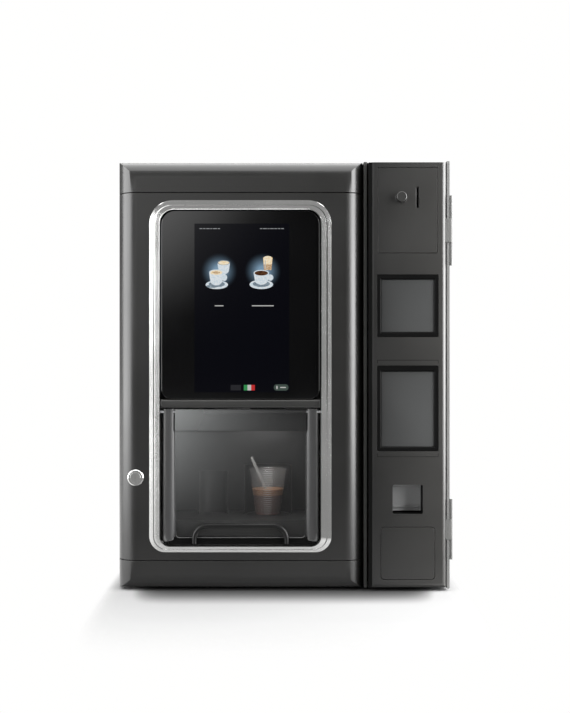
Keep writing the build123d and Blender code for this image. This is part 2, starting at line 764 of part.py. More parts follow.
# The two canisters share the width between the brew unit and the magazine.
canisters_left = left + canisters_from_left
canisters_right = magazine_x - magazine_radius - canister_to_magazine
canister_width = (canisters_right - canisters_left - canister_gap) / 2
canister_front = shelf_front + canisters_from_shelf_front
bridge_x = (canisters_left - sheet - 1, canisters_right + sheet + 1)
bridge_y = (canister_front, canister_front + canister_depth + 10)
boiler_x = inside[1] - boiler_radius - boiler_side_gap
boiler_y = back - sheet - boiler_radius - boiler_back_gap
with BuildPart() as service_shelf:
    block(inside, (shelf_front, back - sheet), (shelf_height, shelf_top))
    block(bridge_x, bridge_y, (canister_shelf_height - sheet, canister_shelf_height))
    for x in (bridge_x[0], bridge_x[1] - sheet):
        block((x, x + sheet), bridge_y, (shelf_top, canister_shelf_height))
    rod((magazine_x, magazine_y, shelf_top + tube_height / 2 + magazine_seat), spindle_radius,
        tube_height + 2 * magazine_seat)
    rod((magazine_x, magazine_y, shelf_top + magazine_seat / 2), 2 * spindle_radius, magazine_seat)
    rod((boiler_x, boiler_y, shelf_height), 2 * pipe_radius, 4 * sheet, mode=Mode.SUBTRACT)
save(service_shelf, "service_shelf")


# ------------------------------------------------------------------ inside the cabinet
bin_front = niche_back + niche_wall + 6.0
bin_left = left + bin_from_left
with BuildPart() as waste_bin:
    block((bin_left, bin_left + bin_width), (bin_front, bin_front + bin_depth),
          (floor_top, floor_top + bin_height))
    fillet(waste_bin.edges().filter_by(Axis.Z), 12)
    block((bin_left + sheet, bin_left + bin_width - sheet),
          (bin_front + sheet, bin_front + bin_depth - sheet),
          (floor_top + sheet, floor_top + bin_height), Mode.SUBTRACT)
save(waste_bin, "waste_bin")

boiler_top = floor_top + boiler_height
stub_height = 12.0
with BuildPart() as boiler:
    rod((boiler_x, boiler_y, middle((floor_top, boiler_top))), boiler_radius, boiler_height)
    fillet(boiler.faces().sort_by(Axis.Z)[-1].edges(), 12)
    rod((boiler_x, boiler_y, boiler_top + stub_height / 2), 2 * pipe_radius, stub_height)
    for z in (0.25, 0.75):
        rod((boiler_x, boiler_y, floor_top + z * boiler_height), boiler_radius + 1.5, 14)
save(boiler, "boiler")

pump_x = bin_left + pump_width / 2
pump_y = back - sheet - 70.0
with BuildPart() as water_pump:
    block((pump_x - pump_width / 2, pump_x + pump_width / 2), (pump_y - 35, pump_y + 35),
          (floor_top, floor_top + 15))
    rod((pump_x, pump_y, floor_top + 12 + pump_width / 2 - 4), pump_width / 2 - 4, 64, ALONG_Y)
    rod((pump_x, pump_y - 40, floor_top + 8 + pump_width / 2), 8, 20, ALONG_Y)
save(water_pump, "water_pump")

inlet_face = back - sheet - inlet_length
with BuildPart() as inlet_valve:
    block((inlet_x - 20, inlet_x + 20), (inlet_face - 26, inlet_face), (floor_top, inlet_height + 20))
    rod((inlet_x, inlet_face + inlet_length / 2, inlet_height), inlet_radius, inlet_length, ALONG_Y)
    rod((inlet_x, back, inlet_height), inlet_radius - 4, 2 * inlet_length, ALONG_Y, Mode.SUBTRACT)
    rod((inlet_x, inlet_face - 13, inlet_height + 30), 14, 24)
save(inlet_valve, "inlet_valve")

# Brew unit with its piston, and the grinder and bean hopper above it.
brew_x = (inside[0] + 8.0, inside[0] + 8.0 + brew_width)
brew_y = (shelf_front + 8.0, shelf_front + 8.0 + brew_depth)
brew_top = shelf_top + brew_height
with BuildPart() as brew_unit:
    block(brew_x, brew_y, (shelf_top, brew_top))
    fillet(brew_unit.edges().filter_by(Axis.Z), 10)
    rod((middle(brew_x), middle(brew_y), brew_top - bore_depth / 2), brew_bore, bore_depth,
        mode=Mode.SUBTRACT)
    rod((middle(brew_x), brew_y[0] - 4, shelf_top + 50), 10, 12, ALONG_Y)
    rod((middle(brew_x), brew_y[0] - 8, shelf_top + 42), 5, 22)
save(brew_unit, "brew_unit")

head_bottom = brew_top + piston_travel + 1.0
with BuildPart() as brew_piston:
    piston_bottom = brew_top - piston_reach
    rod((middle(brew_x), middle(brew_y), middle((piston_bottom, head_bottom))),
        brew_bore - piston_gap, head_bottom - piston_bottom)
    rod((middle(brew_x), middle(brew_y), head_bottom + piston_head / 2), piston_head_radius, piston_head)
save(brew_piston, "brew_piston")

grinder_bottom = head_bottom + piston_head + 10.0
grinder_top = grinder_bottom + grinder_height
chute_radius = 6.0
with BuildPart() as grinder:
    block((inside[0], brew_x[1] - 6), brew_y, (grinder_bottom, grinder_top))
    fillet(grinder.edges().filter_by(Axis.Z).group_by(Axis.X)[-1], 16)
    rod((brew_x[0] + 2 * chute_radius, brew_y[0] + 3 * chute_radius,
         middle((brew_top, grinder_bottom))), chute_radius, grinder_bottom - brew_top)
save(grinder, "grinder")

hopper_x = (inside[0] + 2.0, inside[0] + 2.0 + hopper_width)
hopper_y = (brew_y[0], brew_y[0] + hopper_depth)
outlet = 25.0
with BuildPart() as bean_hopper:
    for shrink, mode in ((0.0, Mode.ADD), (hopper_wall, Mode.SUBTRACT)):
        with BuildSketch(Plane.XY.offset(grinder_top + shrink / 2)) as foot_section:
            with Locations((middle(brew_x) - 10, middle(brew_y))):
                Rectangle(2 * (outlet - shrink), 2 * (outlet - shrink))
        with BuildSketch(Plane.XY.offset(grinder_top + hopper_slope + shrink / 2)) as brim_section:
            with Locations((middle(hopper_x), middle(hopper_y))):
                Rectangle(hopper_width - 2 * shrink, hopper_depth - 2 * shrink)
        loft([foot_section.sketch, brim_section.sketch], mode=mode)
        extrude(brim_section.sketch, amount=hopper_height - hopper_slope, mode=mode)
    block((middle(brew_x) - 10 - outlet + 8, middle(brew_x) - 10 + outlet - 8),
          (middle(brew_y) - outlet + 8, middle(brew_y) + outlet - 8),
          (grinder_top, grinder_top + 6), Mode.SUBTRACT)
save(bean_hopper, "bean_hopper")

# Product canisters, each with an auger that pushes powder out of a spout at the front.
spout_length = 18.0
auger_z = canister_shelf_height + canister_wall + auger_radius + 1.0
canister_back = canister_front + canister_depth
canister_names = ("left", "right")
for place, name in enumerate(canister_names):
    low_x = canisters_left + place * (canister_width + canister_gap)
    mid_x = low_x + canister_width / 2
    with BuildPart() as canister:
        block((low_x, low_x + canister_width), (canister_front, canister_back),
              (canister_shelf_height, canister_shelf_height + canister_height))
        fillet(canister.edges().filter_by(Axis.Z), 6)
        rod((mid_x, canister_front - spout_length / 2 + 3, auger_z), auger_radius + 3, spout_length + 6,
            ALONG_Y)
        block((low_x + canister_wall, low_x + canister_width - canister_wall),
              (canister_front + canister_wall, canister_back - canister_wall),
              (canister_shelf_height + canister_wall, canister_shelf_height + canister_height),
              Mode.SUBTRACT)
        rod((mid_x, canister_front - spout_length / 2 + 6, auger_z), auger_radius + 1,
            spout_length + 16, ALONG_Y, Mode.SUBTRACT)
        rod((mid_x, canister_back, auger_z), auger_shaft + auger_gap, 4 * canister_wall, ALONG_Y,
            Mode.SUBTRACT)
    save(canister, f"canister_{name}")

    auger_front = canister_front - spout_length + 4.0
    auger_back = canister_back + 8.0
    turns = int((auger_back - auger_front - 20.0) / auger_pitch)
    with BuildPart() as auger:
        rod((mid_x, middle((auger_front, auger_back)), auger_z), auger_shaft,
            auger_back - auger_front, ALONG_Y)
        for turn in range(turns):
            y = auger_front + auger_pitch / 2 + turn * auger_pitch
            rod((mid_x, y, auger_z), auger_radius - 0.5, auger_disc, (90 + auger_tilt, 0, 0))
    save(auger, f"auger_{name}")

# Cup magazine: tubes for stacked cups round a hub that turns on the shelf's spindle.
magazine_bottom = shelf_top + magazine_seat
plate = 2.5
with BuildPart() as cup_magazine:
    for z in (magazine_bottom + plate / 2, magazine_bottom + tube_height - plate / 2):
        rod((magazine_x, magazine_y, z), magazine_radius, plate)
    rod((magazine_x, magazine_y, magazine_bottom + tube_height / 2),
        spindle_radius + spindle_gap + hub_wall, tube_height)
    with Locations((magazine_x, magazine_y, magazine_bottom + tube_height / 2)):
        with PolarLocations(tube_circle, tube_count, start_angle=90):
            Cylinder(tube_radius, tube_height)
        with PolarLocations(tube_circle, tube_count, start_angle=90):
            Cylinder(tube_radius - tube_wall, tube_height + 1, mode=Mode.SUBTRACT)
    rod((magazine_x, magazine_y, magazine_bottom + tube_height / 2), spindle_radius + spindle_gap,
        tube_height + 1, mode=Mode.SUBTRACT)
save(cup_magazine, "cup_magazine")

rotor_y = back - fan_depth / 2 - 2.0
blade_depth = 12.0
rotor_hub = 12.0
blade_thickness = 1.6
blade_pitch = 38.0
with BuildPart() as fan_rotor:
    rod((fan_x, rotor_y, fan_z), rotor_hub, blade_depth + 2, ALONG_Y)
    with Locations(Location((fan_x, rotor_y, fan_z), (90, 0, 0))):
        with PolarLocations((rotor_hub + fan_radius) / 2 - 1.5, fan_blades):
            Box(fan_radius - rotor_hub - 1, blade_thickness, blade_depth, rotation=(blade_pitch, 0, 0))
    rod((fan_x, rotor_y, fan_z), fan_shaft + fan_gap, fan_depth, ALONG_Y, Mode.SUBTRACT)
save(fan_rotor, "fan_rotor")

# Hot water pipe from the boiler up through the shelf and forward to the brew unit.
pipe_start = boiler_top + stub_height
pipe_level = canister_shelf_height - pipe_drop
pipe_points = [
    (boiler_x, boiler_y, pipe_start),
    (boiler_x, boiler_y, pipe_level),
    (middle(brew_x), boiler_y, pipe_level),
    (middle(brew_x), brew_y[1], pipe_level),
]
with BuildPart() as hot_water_pipe:
    with BuildLine() as pipe_path:
        FilletPolyline(*pipe_points, radius=pipe_bend)
    with BuildSketch(Plane(pipe_points[0], z_dir=(0, 0, 1))) as pipe_section:
        Circle(pipe_radius)
    sweep(pipe_section.sketch, path=pipe_path.line)
save(hot_water_pipe, "hot_water_pipe")


# ------------------------------------------------------------------ payment column: housing
housing_left = main_right + column_join
housing_front = front + column_front_depth + 1.0
strip_front = front + 6.0
with BuildPart() as column_housing:
    block((housing_left, right), (housing_front, back), (skirt_clearance, overall_height))
    block((housing_left + sheet, right - sheet), (housing_front - 1, back - sheet),
          (floor_top, overall_height - sheet), Mode.SUBTRACT)
    block((housing_left + sheet, right - sheet), (housing_front + sheet, back - sheet),
          (skirt_clearance, foot_height), Mode.SUBTRACT)
    block((right - column_strip, right), (strip_front, housing_front), (skirt_clearance, overall_height))
save(column_housing, "column_housing")

# The mullion stands just behind the path of the chrome ring's corner as the door opens.
mullion_front = pivot_y - (pivot_x - ring_right) + door_gap
with BuildPart() as centre_mullion:
    block((housing_left, housing_left + mullion_width), (mullion_front, housing_front),
          (skirt_clearance, overall_height))
    fillet(centre_mullion.faces().sort_by(Axis.Y)[0].edges().filter_by(Axis.Z), 1.2)
save(centre_mullion, "centre_mullion")


# ------------------------------------------------------------------ payment column: door
column_x = (housing_left + mullion_width + column_gap, right - column_strip - column_strip_gap)
column_z = (skirt_clearance + column_foot_gap, overall_height - column_top_gap)
column_back = front + column_front_depth
column_mid = middle(column_x)
hinge_x = right + 0.1 + hinge_radius
hinge_y = strip_front + 1.0
arm_y = (strip_front - 1.9, strip_front - 0.4)
hinges = (upper_hinge, lower_hinge)


def centred(mid, width):
    return (mid - width / 2, mid + width / 2)


def grown(limits, by):
    return (limits[0] - by, limits[1] + by)


payment_x = centred(column_mid, payment_width)
payment_top = column_z[1] - payment_top_gap
payment_z = (payment_top - payment_height, payment_top)
module_x = centred(column_mid, module_width)
upper_z = (upper_module_bottom, upper_module_bottom + upper_module_height)
lower_z = (lower_module_bottom, lower_module_bottom + lower_module_height)
return_x = centred(column_mid, return_width)
return_z = (return_bottom, return_bottom + return_height)
cover_x = centred(column_mid, bottom_cover_width)
cover_z = (bottom_cover_bottom, bottom_cover_bottom + bottom_cover_height)
face_y = (front, front + column_face)
flange_y = (front + column_face, front + column_face + insert_flange)


def knuckles(limits):
    """Heights of a hinge's lower, middle and upper knuckle."""
    third = (limits[1] - limits[0]) / 3
    low, high = limits[0] + third, limits[1] - third
    return ((limits[0], low - knuckle_gap), (low, high), (high + knuckle_gap, limits[1]))


with BuildPart() as column_front:
    rounded_front(column_x, column_z, column_back, column_edge_radius, column_edge_radius,
                  column_edge_radius)
    block((column_x[0] + column_wall, column_x[1] - column_wall),
          (front + column_face, column_back),
          (column_z[0] + column_wall + 1, column_z[1] - column_wall - 1), Mode.SUBTRACT)
    openings = (
        (payment_x, payment_z, 2.0),
        (module_x, upper_z, 2.0),
        (module_x, lower_z, 2.0),
        (return_x, return_z, 3.0),
        (cover_x, cover_z, bottom_cover_radius),
    )
    for x, z, radius in openings:
        front_plate(grown(x, insert_gap), grown(z, insert_gap), (front - 1, front + column_face + 1),
                    radius + insert_gap, radius + insert_gap, Mode.SUBTRACT)
    for limits in hinges:
        block((column_x[1] - column_wall, column_x[1] + 1), arm_y, knuckles(limits)[1], Mode.SUBTRACT)
save(column_front, "column_front")


def insert(x, z, radius):
    """A panel set flush in the column's door, with a flange behind the face."""
    front_plate(x, z, face_y, radius, radius)
    front_plate(grown(x, insert_lap), grown(z, insert_lap), flange_y)


slot_x = column_mid + slot_offset
slot_z = middle(payment_z) + slot_rise
button_x = column_mid - button_offset
collar_radius = button_radius + 1.6
with BuildPart() as payment_plate:
    insert(payment_x, payment_z, 2.0)
    rod((button_x, front - 0.5, slot_z), collar_radius, 3.0, ALONG_Y)
    front_plate(centred(slot_x, slot_width + 3), centred(slot_z, slot_length + 3),
                (front - 0.1, front + 1.2), 2, 2, Mode.SUBTRACT)
    front_plate(centred(slot_x, slot_width), centred(slot_z, slot_length),
                (front - 1, flange_y[1] + 1), 1.5, 1.5, Mode.SUBTRACT)
    rod((button_x, front, slot_z), button_radius + button_gap, 40, ALONG_Y, Mode.SUBTRACT)
save(payment_plate, "payment_plate")

button_flange = 2.0
button_rear = flange_y[1] + touch_gap + button_flange
with BuildPart() as coin_return_button:
    rod((button_x, middle((front - button_proud, button_rear)), slot_z), button_radius,
        button_rear - front + button_proud, ALONG_Y)
    fillet(coin_return_button.faces().sort_by(Axis.Y)[0].edges(), 1.5)
    rod((button_x, button_rear - button_flange / 2, slot_z), button_radius + 3, button_flange, ALONG_Y)
save(coin_return_button, "coin_return_button")

recess_y = front + cover_recess + cover_thickness
modules = (
    ("upper_module", upper_z, (8.3, 8.3)),
    ("lower_module", lower_z, (7.0, 10.0)),
)
for name, z, rims in modules:
    window_low_x = (module_x[0] + module_rim, module_x[1] - module_rim)
    window_low_z = (z[0] + rims[0], z[1] - rims[1])
    with BuildPart() as module_frame:
        insert(module_x, z, 2.0)
        front_plate(window_low_x, window_low_z, (front + column_face, recess_y + insert_flange))
        front_plate(window_low_x, window_low_z, (front - 1, recess_y), mode=Mode.SUBTRACT)
        rim_edges = module_frame.faces().sort_by(Axis.Y)[0].inner_wires()[0].edges()
        chamfer(rim_edges, 1.5)
    save(module_frame, f"{name}_frame")
    with BuildPart() as module_cover:
        front_plate(grown(window_low_x, -0.1), grown(window_low_z, -0.1),
                    (front + cover_recess, recess_y), 1, 1)
        chamfer(module_cover.faces().sort_by(Axis.Y)[0].edges(), 0.6)
    save(module_cover, f"{name}_cover")

with BuildPart() as bottom_cover:
    insert(cover_x, cover_z, bottom_cover_radius)
save(bottom_cover, "bottom_cover")

# Coin return: a cup behind the face, with a flap that hangs at its back and swings in.
flap_swing_depth = return_flap_height * math.sin(math.radians(return_flap_swing))
return_back = front + return_flap_recess + flap_swing_depth + 6.0
flap_pivot_y = front + return_flap_recess + return_pin_radius
flap_pivot_z = return_z[1] - return_pin_radius - 1.5
with BuildPart() as coin_return_cup:
    insert(return_x, return_z, 3.0)
    front_plate(grown(return_x, return_wall), grown(return_z, return_wall), (flange_y[0], return_back))
    front_plate(return_x, return_z, (front + return_wall, return_back - return_wall), mode=Mode.SUBTRACT)
    front_plate(return_x, return_z, (front - 1, front + return_wall), 3, 3, Mode.SUBTRACT)
    rod((column_mid, flap_pivot_y, flap_pivot_z), return_pin_radius + 0.05,
        return_width + 3 * return_wall, ALONG_X, Mode.SUBTRACT)
    block((column_mid - 20, column_mid + 20), (return_back - 24, return_back - return_wall - 2),
          (return_z[1] - 1, return_z[1] + return_wall + 1), Mode.SUBTRACT)
save(coin_return_cup, "coin_return_cup")

return_flap_x = grown(return_x, -0.5)
with BuildPart() as coin_return_flap:
    block(return_flap_x, (flap_pivot_y - 1.2, flap_pivot_y + 1.2),
          (flap_pivot_z - return_flap_height, flap_pivot_z))
    rod((column_mid, flap_pivot_y, flap_pivot_z), return_pin_radius + 1.0,
        return_flap_x[1] - return_flap_x[0], ALONG_X)
    rod((column_mid, flap_pivot_y, flap_pivot_z), return_pin_radius,
        return_width + 2 * return_wall - 1, ALONG_X)
    rod((column_mid, flap_pivot_y - 1.2, flap_pivot_z - return_flap_height + 7), 2.5,
        return_flap_x[1] - return_flap_x[0] - 8, ALONG_X)
save(coin_return_flap, "coin_return_flap")

# Door hinges: two-knuckle leaves and pins on the housing, one-knuckle arms on the door.
with BuildPart() as column_hinge_leaves:
    for limits in hinges:
        block((right, right + 1), (hinge_y + hinge_radius + 1, hinge_y + 22), limits)
        for span in (knuckles(limits)[0], knuckles(limits)[2]):
            rod((hinge_x, hinge_y, middle(span)), hinge_radius, span[1] - span[0])
            block((right, right + 1), (hinge_y, hinge_y + 6), span)
            rod((hinge_x, hinge_y, middle(span)), hinge_pin_radius, 2 * (span[1] - span[0]),
                mode=Mode.SUBTRACT)
with BuildPart() as hinge_pins:
    for limits in hinges:
        rod((hinge_x, hinge_y, middle(limits)), hinge_pin_radius, limits[1] - limits[0])
column_hinge_leaves.part = Compound(children=column_hinge_leaves.solids() + hinge_pins.solids())
save(column_hinge_leaves, "column_hinge_leaves")

with BuildPart() as column_hinge_arms:
    for limits in hinges:
        span = grown(knuckles(limits)[1], 0)
        rod((hinge_x, hinge_y, middle(span)), hinge_radius, span[1] - span[0])
        block((column_x[1] - column_wall, hinge_x), arm_y, span)
        rod((hinge_x, hinge_y, middle(span)), hinge_pin_radius + hinge_pin_gap, 2 * (span[1] - span[0]),
            mode=Mode.SUBTRACT)
save(column_hinge_arms, "column_hinge_arms")


# ------------------------------------------------------------------ payment column: inside
changer_x = (housing_left + sheet, housing_left + sheet + changer_width)
changer_y = (return_back + 10.0, return_back + 10.0 + changer_depth)
changer_z = (payment_z[0] + 10.0 - changer_height, payment_z[0] + 10.0)
with BuildPart() as coin_changer:
    block(changer_x, changer_y, changer_z)
    fillet(coin_changer.edges().filter_by(Axis.Z), 4)
    for tube in range(1, coin_tubes + 1):
        tube_x = changer_x[0] + tube * changer_width / (coin_tubes + 1)
        rod((tube_x, changer_y[0], changer_z[1] - 60), 10, 90)
    block((changer_x[0] + 12, changer_x[1] - 12), (changer_y[0] - 4, changer_y[0]),
          (changer_z[0] + 20, changer_z[0] + 80))
save(coin_changer, "coin_changer")

box_x = (housing_left + 14.0, housing_left + 14.0 + box_width)
box_y = (return_back + 8.0, return_back + 8.0 + box_depth)
with BuildPart() as coin_box:
    block(box_x, box_y, (floor_top, floor_top + box_height))
    block(grown(box_x, -sheet), grown(box_y, -sheet), (floor_top + sheet, floor_top + box_height),
          Mode.SUBTRACT)
    block((middle(box_x) - 25, middle(box_x) + 25), (box_y[0] - 6, box_y[0]),
          (floor_top + 60, floor_top + 70))
save(coin_box, "coin_box")
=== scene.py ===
# %% [markdown]
# A hot coffee vending machine, finished in Blender.
# The construction comes in as a fixed frame: sixty rigid pieces at their real size, each on
# the body that it moves with. This lesson gives them their looks. Every step first says what
# the piece is on the real machine, and why it is made this way. Sizes are in metres.

# %% Load the frame
import json
import math

import bmesh
import bpy
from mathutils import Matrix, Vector

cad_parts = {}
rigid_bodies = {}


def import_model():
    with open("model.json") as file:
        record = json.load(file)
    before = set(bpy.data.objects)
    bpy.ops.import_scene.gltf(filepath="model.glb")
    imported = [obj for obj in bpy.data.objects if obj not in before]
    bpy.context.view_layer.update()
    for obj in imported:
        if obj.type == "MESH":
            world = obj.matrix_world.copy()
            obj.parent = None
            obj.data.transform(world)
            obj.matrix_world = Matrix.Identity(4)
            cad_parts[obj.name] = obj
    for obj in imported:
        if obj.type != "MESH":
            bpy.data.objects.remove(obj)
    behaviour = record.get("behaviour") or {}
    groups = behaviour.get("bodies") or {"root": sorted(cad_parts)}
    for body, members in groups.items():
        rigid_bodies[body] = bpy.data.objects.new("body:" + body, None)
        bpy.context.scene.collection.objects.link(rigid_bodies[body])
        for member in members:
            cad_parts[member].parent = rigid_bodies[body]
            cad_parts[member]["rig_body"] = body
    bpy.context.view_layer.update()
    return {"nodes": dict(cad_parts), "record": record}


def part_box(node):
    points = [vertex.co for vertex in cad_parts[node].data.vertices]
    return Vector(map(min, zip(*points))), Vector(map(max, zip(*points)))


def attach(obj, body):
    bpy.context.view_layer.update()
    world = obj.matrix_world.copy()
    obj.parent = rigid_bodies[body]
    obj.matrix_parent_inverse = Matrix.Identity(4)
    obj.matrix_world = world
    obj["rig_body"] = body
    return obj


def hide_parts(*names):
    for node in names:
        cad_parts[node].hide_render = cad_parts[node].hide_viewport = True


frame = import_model()
scene = bpy.context.scene
MM = 0.001

# %% [markdown]
# The camera stands level with the middle of the screen, straight in front of the door, and
# looks along +Y. A long lens from two metres keeps the sides of the cabinet almost hidden.
# The standard view transform shows a surface as bright as the light on it says.

# %% Camera
def add_object(name, data):
    """A new object in the scene."""
    made = bpy.data.objects.new(name, data)
    scene.collection.objects.link(made)
    return made


FRONT_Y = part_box("door_panel")[0].y
CAMERA_DISTANCE, CAMERA_ASIDE, CAMERA_HEIGHT = 2.0, 0.0026, 0.409
camera_data = bpy.data.cameras.new("camera")
camera_data.sensor_width = 36.0
camera_data.lens = 58.04
camera = add_object("camera", camera_data)
camera.location = (CAMERA_ASIDE, FRONT_Y - CAMERA_DISTANCE, CAMERA_HEIGHT)
camera.rotation_euler = (math.radians(90), 0, 0)
scene.camera = camera
scene.view_settings.view_transform = "Standard"
print("camera at", tuple(round(v, 3) for v in camera.location))

# %% [markdown]
# Materials and the sky are trees of nodes. A few helpers keep them short to write: one adds
# a node, one feeds its inputs, and the rest are steps of arithmetic. An input is fed either
# by another node's output or with a plain number or colour. Sizes of pieces are read in mm.

# %% Node helpers
def add_node(tree, kind, **values):
    """A shader node in a tree, with its plain properties set by name."""
    node = tree.nodes.new("ShaderNode" + kind)
    for name, value in values.items():
        setattr(node, name, value)
    return node


def feed(tree, pairs):
    """Feeds each input, the second of a pair, from an output or with a plain value."""
    for source, target in pairs:
        if isinstance(source, bpy.types.NodeSocket):
            tree.links.new(source, target)
        else:
            target.default_value = source


def calc(tree, operation, *values):
    """One step of arithmetic on up to three values."""
    node = add_node(tree, "Math", operation=operation)
    feed(tree, zip(values, node.inputs))
    return node.outputs[0]


def dot(tree, first, second):
    """The dot product of two directions."""
    node = add_node(tree, "VectorMath", operation="DOT_PRODUCT")
    feed(tree, zip((first, second), node.inputs))
    return node.outputs["Value"]


def ranged(tree, source, low, high, to_low=0.0, to_high=1.0, kind="LINEAR"):
    """Maps a value from one range to another and holds it at the ends."""
    node = add_node(tree, "MapRange", interpolation_type=kind)
    labels = ("Value", "From Min", "From Max", "To Min", "To Max")
    feed(tree, zip((source, low, high, to_low, to_high), (node.inputs[n] for n in labels)))
    return node.outputs["Result"]


def pick(tree, mask, otherwise, chosen):
    """One value where a mask is 0, and another where it is 1."""
    node = add_node(tree, "Mix", data_type="FLOAT")
    feed(tree, zip((mask, otherwise, chosen), (node.inputs[n] for n in ("Factor", "A", "B"))))
    return node.outputs["Result"]


def object_place(tree):
    """A point in Object coordinates, which stay with the piece when it moves."""
    return add_node(tree, "TexCoord").outputs["Object"]


def axes(tree, direction):
    """The parts of a point or a direction, as outputs X, Y and Z."""
    split = add_node(tree, "SeparateXYZ")
    tree.links.new(direction, split.inputs[0])
    return split.outputs


def new_material(name):
    """A material with an empty tree and its output node."""
    material = bpy.data.materials.new(name)
    material.use_nodes = True
    material.node_tree.nodes.clear()
    output = add_node(material.node_tree, "OutputMaterial")
    return material, material.node_tree, output


def box_mm(node):
    """A frame piece's lowest and highest corner in mm."""
    return [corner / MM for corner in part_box(node)]


print("node helpers ready")

# %% [markdown]
# The room is a white studio. The eye sees a white sky, while reflections see a dimmer one,
# darkest behind the camera, so that dark plastic and black glass stay dark. One soft patch
# high on the left lays a faint sheen on the glass's upper corner, as daylight would.

# %% Sky
SKY_SEEN, SKY_REFLECTED, SKY_BEHIND_CAMERA = 1.0, 0.34, 0.03
DARK_CORE, DARK_EDGE = math.radians(12), math.radians(38)
SHEEN_DIRECTION = Vector((-0.20, -0.955, 0.215)).normalized()
SHEEN_STRENGTH = 3.0
SHEEN_CORE, SHEEN_EDGE = math.radians(3), math.radians(12.5)
WARM_WHITE = (1.0, 1.0, 0.995, 1.0)
sky = bpy.data.worlds.new("studio")
scene.world = sky
sky.use_nodes = True
tree = sky.node_tree
background = tree.nodes["Background"]
direction = add_node(tree, "TexCoord").outputs["Generated"]


def sky_patch(towards, core, edge, inner, outer):
    """A soft round patch of the sky: one strength in its core, another outside its edge."""
    along = dot(tree, direction, towards)
    return ranged(tree, along, math.cos(edge), math.cos(core), outer, inner, "SMOOTHSTEP")


room = sky_patch((0, -1, 0), DARK_CORE, DARK_EDGE, SKY_BEHIND_CAMERA, SKY_REFLECTED)
sheen = sky_patch(SHEEN_DIRECTION, SHEEN_CORE, SHEEN_EDGE, SHEEN_STRENGTH, 0.0)
eye = add_node(tree, "LightPath").outputs["Is Camera Ray"]
feed(tree, [
    (pick(tree, eye, calc(tree, "ADD", room, sheen), SKY_SEEN), background.inputs["Strength"]),
    (WARM_WHITE, background.inputs["Color"]),
])
print("sky:", SKY_SEEN, "seen,", SKY_REFLECTED, "reflected")

# %% [markdown]
# Three large softboxes draw the highlights. The side ones are long walls of light: the
# rolled edges of the door are quarter rounds, and a quarter round shows a broad bright band
# only if the light beside it is as broad. The one overhead lights the floor and the top roll.
# The camera doesn't see the lamps, but every glossy surface does.

# %% Softboxes
def softbox(name, place, aim, size, radiance):
    """A rectangular lamp at a place, turned to face the point aim."""
    data = bpy.data.lights.new(name, "AREA")
    data.shape = "RECTANGLE"
    data.size, data.size_y = size
    data.energy = radiance * math.pi * size[0] * size[1]
    lamp = add_object(name, data)
    lamp.location = place
    lamp.rotation_euler = (Vector(aim) - Vector(place)).to_track_quat("-Z", "Y").to_euler()
    lamp.visible_camera = False


softbox("softbox_left", (-1.7, -0.92, 0.9), (0.0, -0.92, 0.6), (1.86, 2.0), 8.6)
softbox("softbox_right", (1.7, -0.60, 0.9), (0.0, -0.60, 0.6), (2.6, 2.0), 16.0)
softbox("softbox_top", (0.0, 0.32, 2.4), (0.0, 0.32, 0.0), (3.0, 3.56), 4.1)

# %% [markdown]
# The floor is a white sweep. Near the feet it is matt paint that takes a real soft shadow,
# and a darker grey painted close round the machine adds a painted contact shadow; further out
# it fades into the white of the sky, so no horizon line shows. The painted shadow is for the
# eye only: the machine itself is lit by open floor. In its glossy surfaces the floor ahead
# is dim, like the room, and bright only to either side.

# %% Floor
def new_object(name, mesh_maker):
    """A new mesh object whose bmesh is filled by a function."""
    mesh = bpy.data.meshes.new(name)
    shape = bmesh.new()
    mesh_maker(shape)
    shape.to_mesh(mesh)
    shape.free()
    return add_object(name, mesh)


FLOOR_HALF = 9.0
SHADOW_HALF_WIDTH, SHADOW_HALF_DEPTH = 0.315, 0.72
WIDTH_POWER, DEPTH_POWER = 8.0, 2.0
PAINTED_SHADOW_GREY, OPEN_GREY = 0.030, 0.235
PAINTED_SHADOW_FROM, PAINTED_SHADOW_TO = 0.008, 0.08
FADE_FROM, FADE_TO = 0.15, 1.0
FLOOR_AHEAD, FLOOR_ASIDE = 0.30, 1.9
ASIDE_SLOPE, ASIDE_FROM, ASIDE_TO = -0.9, -0.08, 0.06
floor = new_object("floor", lambda shape: bmesh.ops.create_grid(
    shape, x_segments=1, y_segments=1, size=FLOOR_HALF))
floor_paint, tree, output = new_material("floor_paint")
spot = axes(tree, object_place(tree))
ray = add_node(tree, "LightPath").outputs

# How far out a point lies: near 0 under the machine, 1 on a rounded rectangle about it.
shares = []
for axis, half, power in (("X", SHADOW_HALF_WIDTH, WIDTH_POWER),
                          ("Y", SHADOW_HALF_DEPTH, DEPTH_POWER)):
    share = calc(tree, "DIVIDE", spot[axis], half)
    shares.append(calc(tree, "POWER", calc(tree, "MULTIPLY", share, share), power))
outward = calc(tree, "ADD", *shares)
# The painted contact shadow: the floor's grey runs from a dark grey at the feet up to the open
# grey.
painted_contact_shadow = ranged(tree, outward, PAINTED_SHADOW_FROM, PAINTED_SHADOW_TO, PAINTED_SHADOW_GREY, OPEN_GREY, "SMOOTHSTEP")
aside = calc(tree, "MULTIPLY_ADD", calc(tree, "ABSOLUTE", spot["Y"]), ASIDE_SLOPE,
             calc(tree, "ABSOLUTE", spot["X"]))
in_gloss = ranged(tree, aside, ASIDE_FROM, ASIDE_TO, FLOOR_AHEAD, FLOOR_ASIDE, "SMOOTHSTEP")
matt = add_node(tree, "BsdfDiffuse")
glow = add_node(tree, "Emission")
both = add_node(tree, "MixShader")
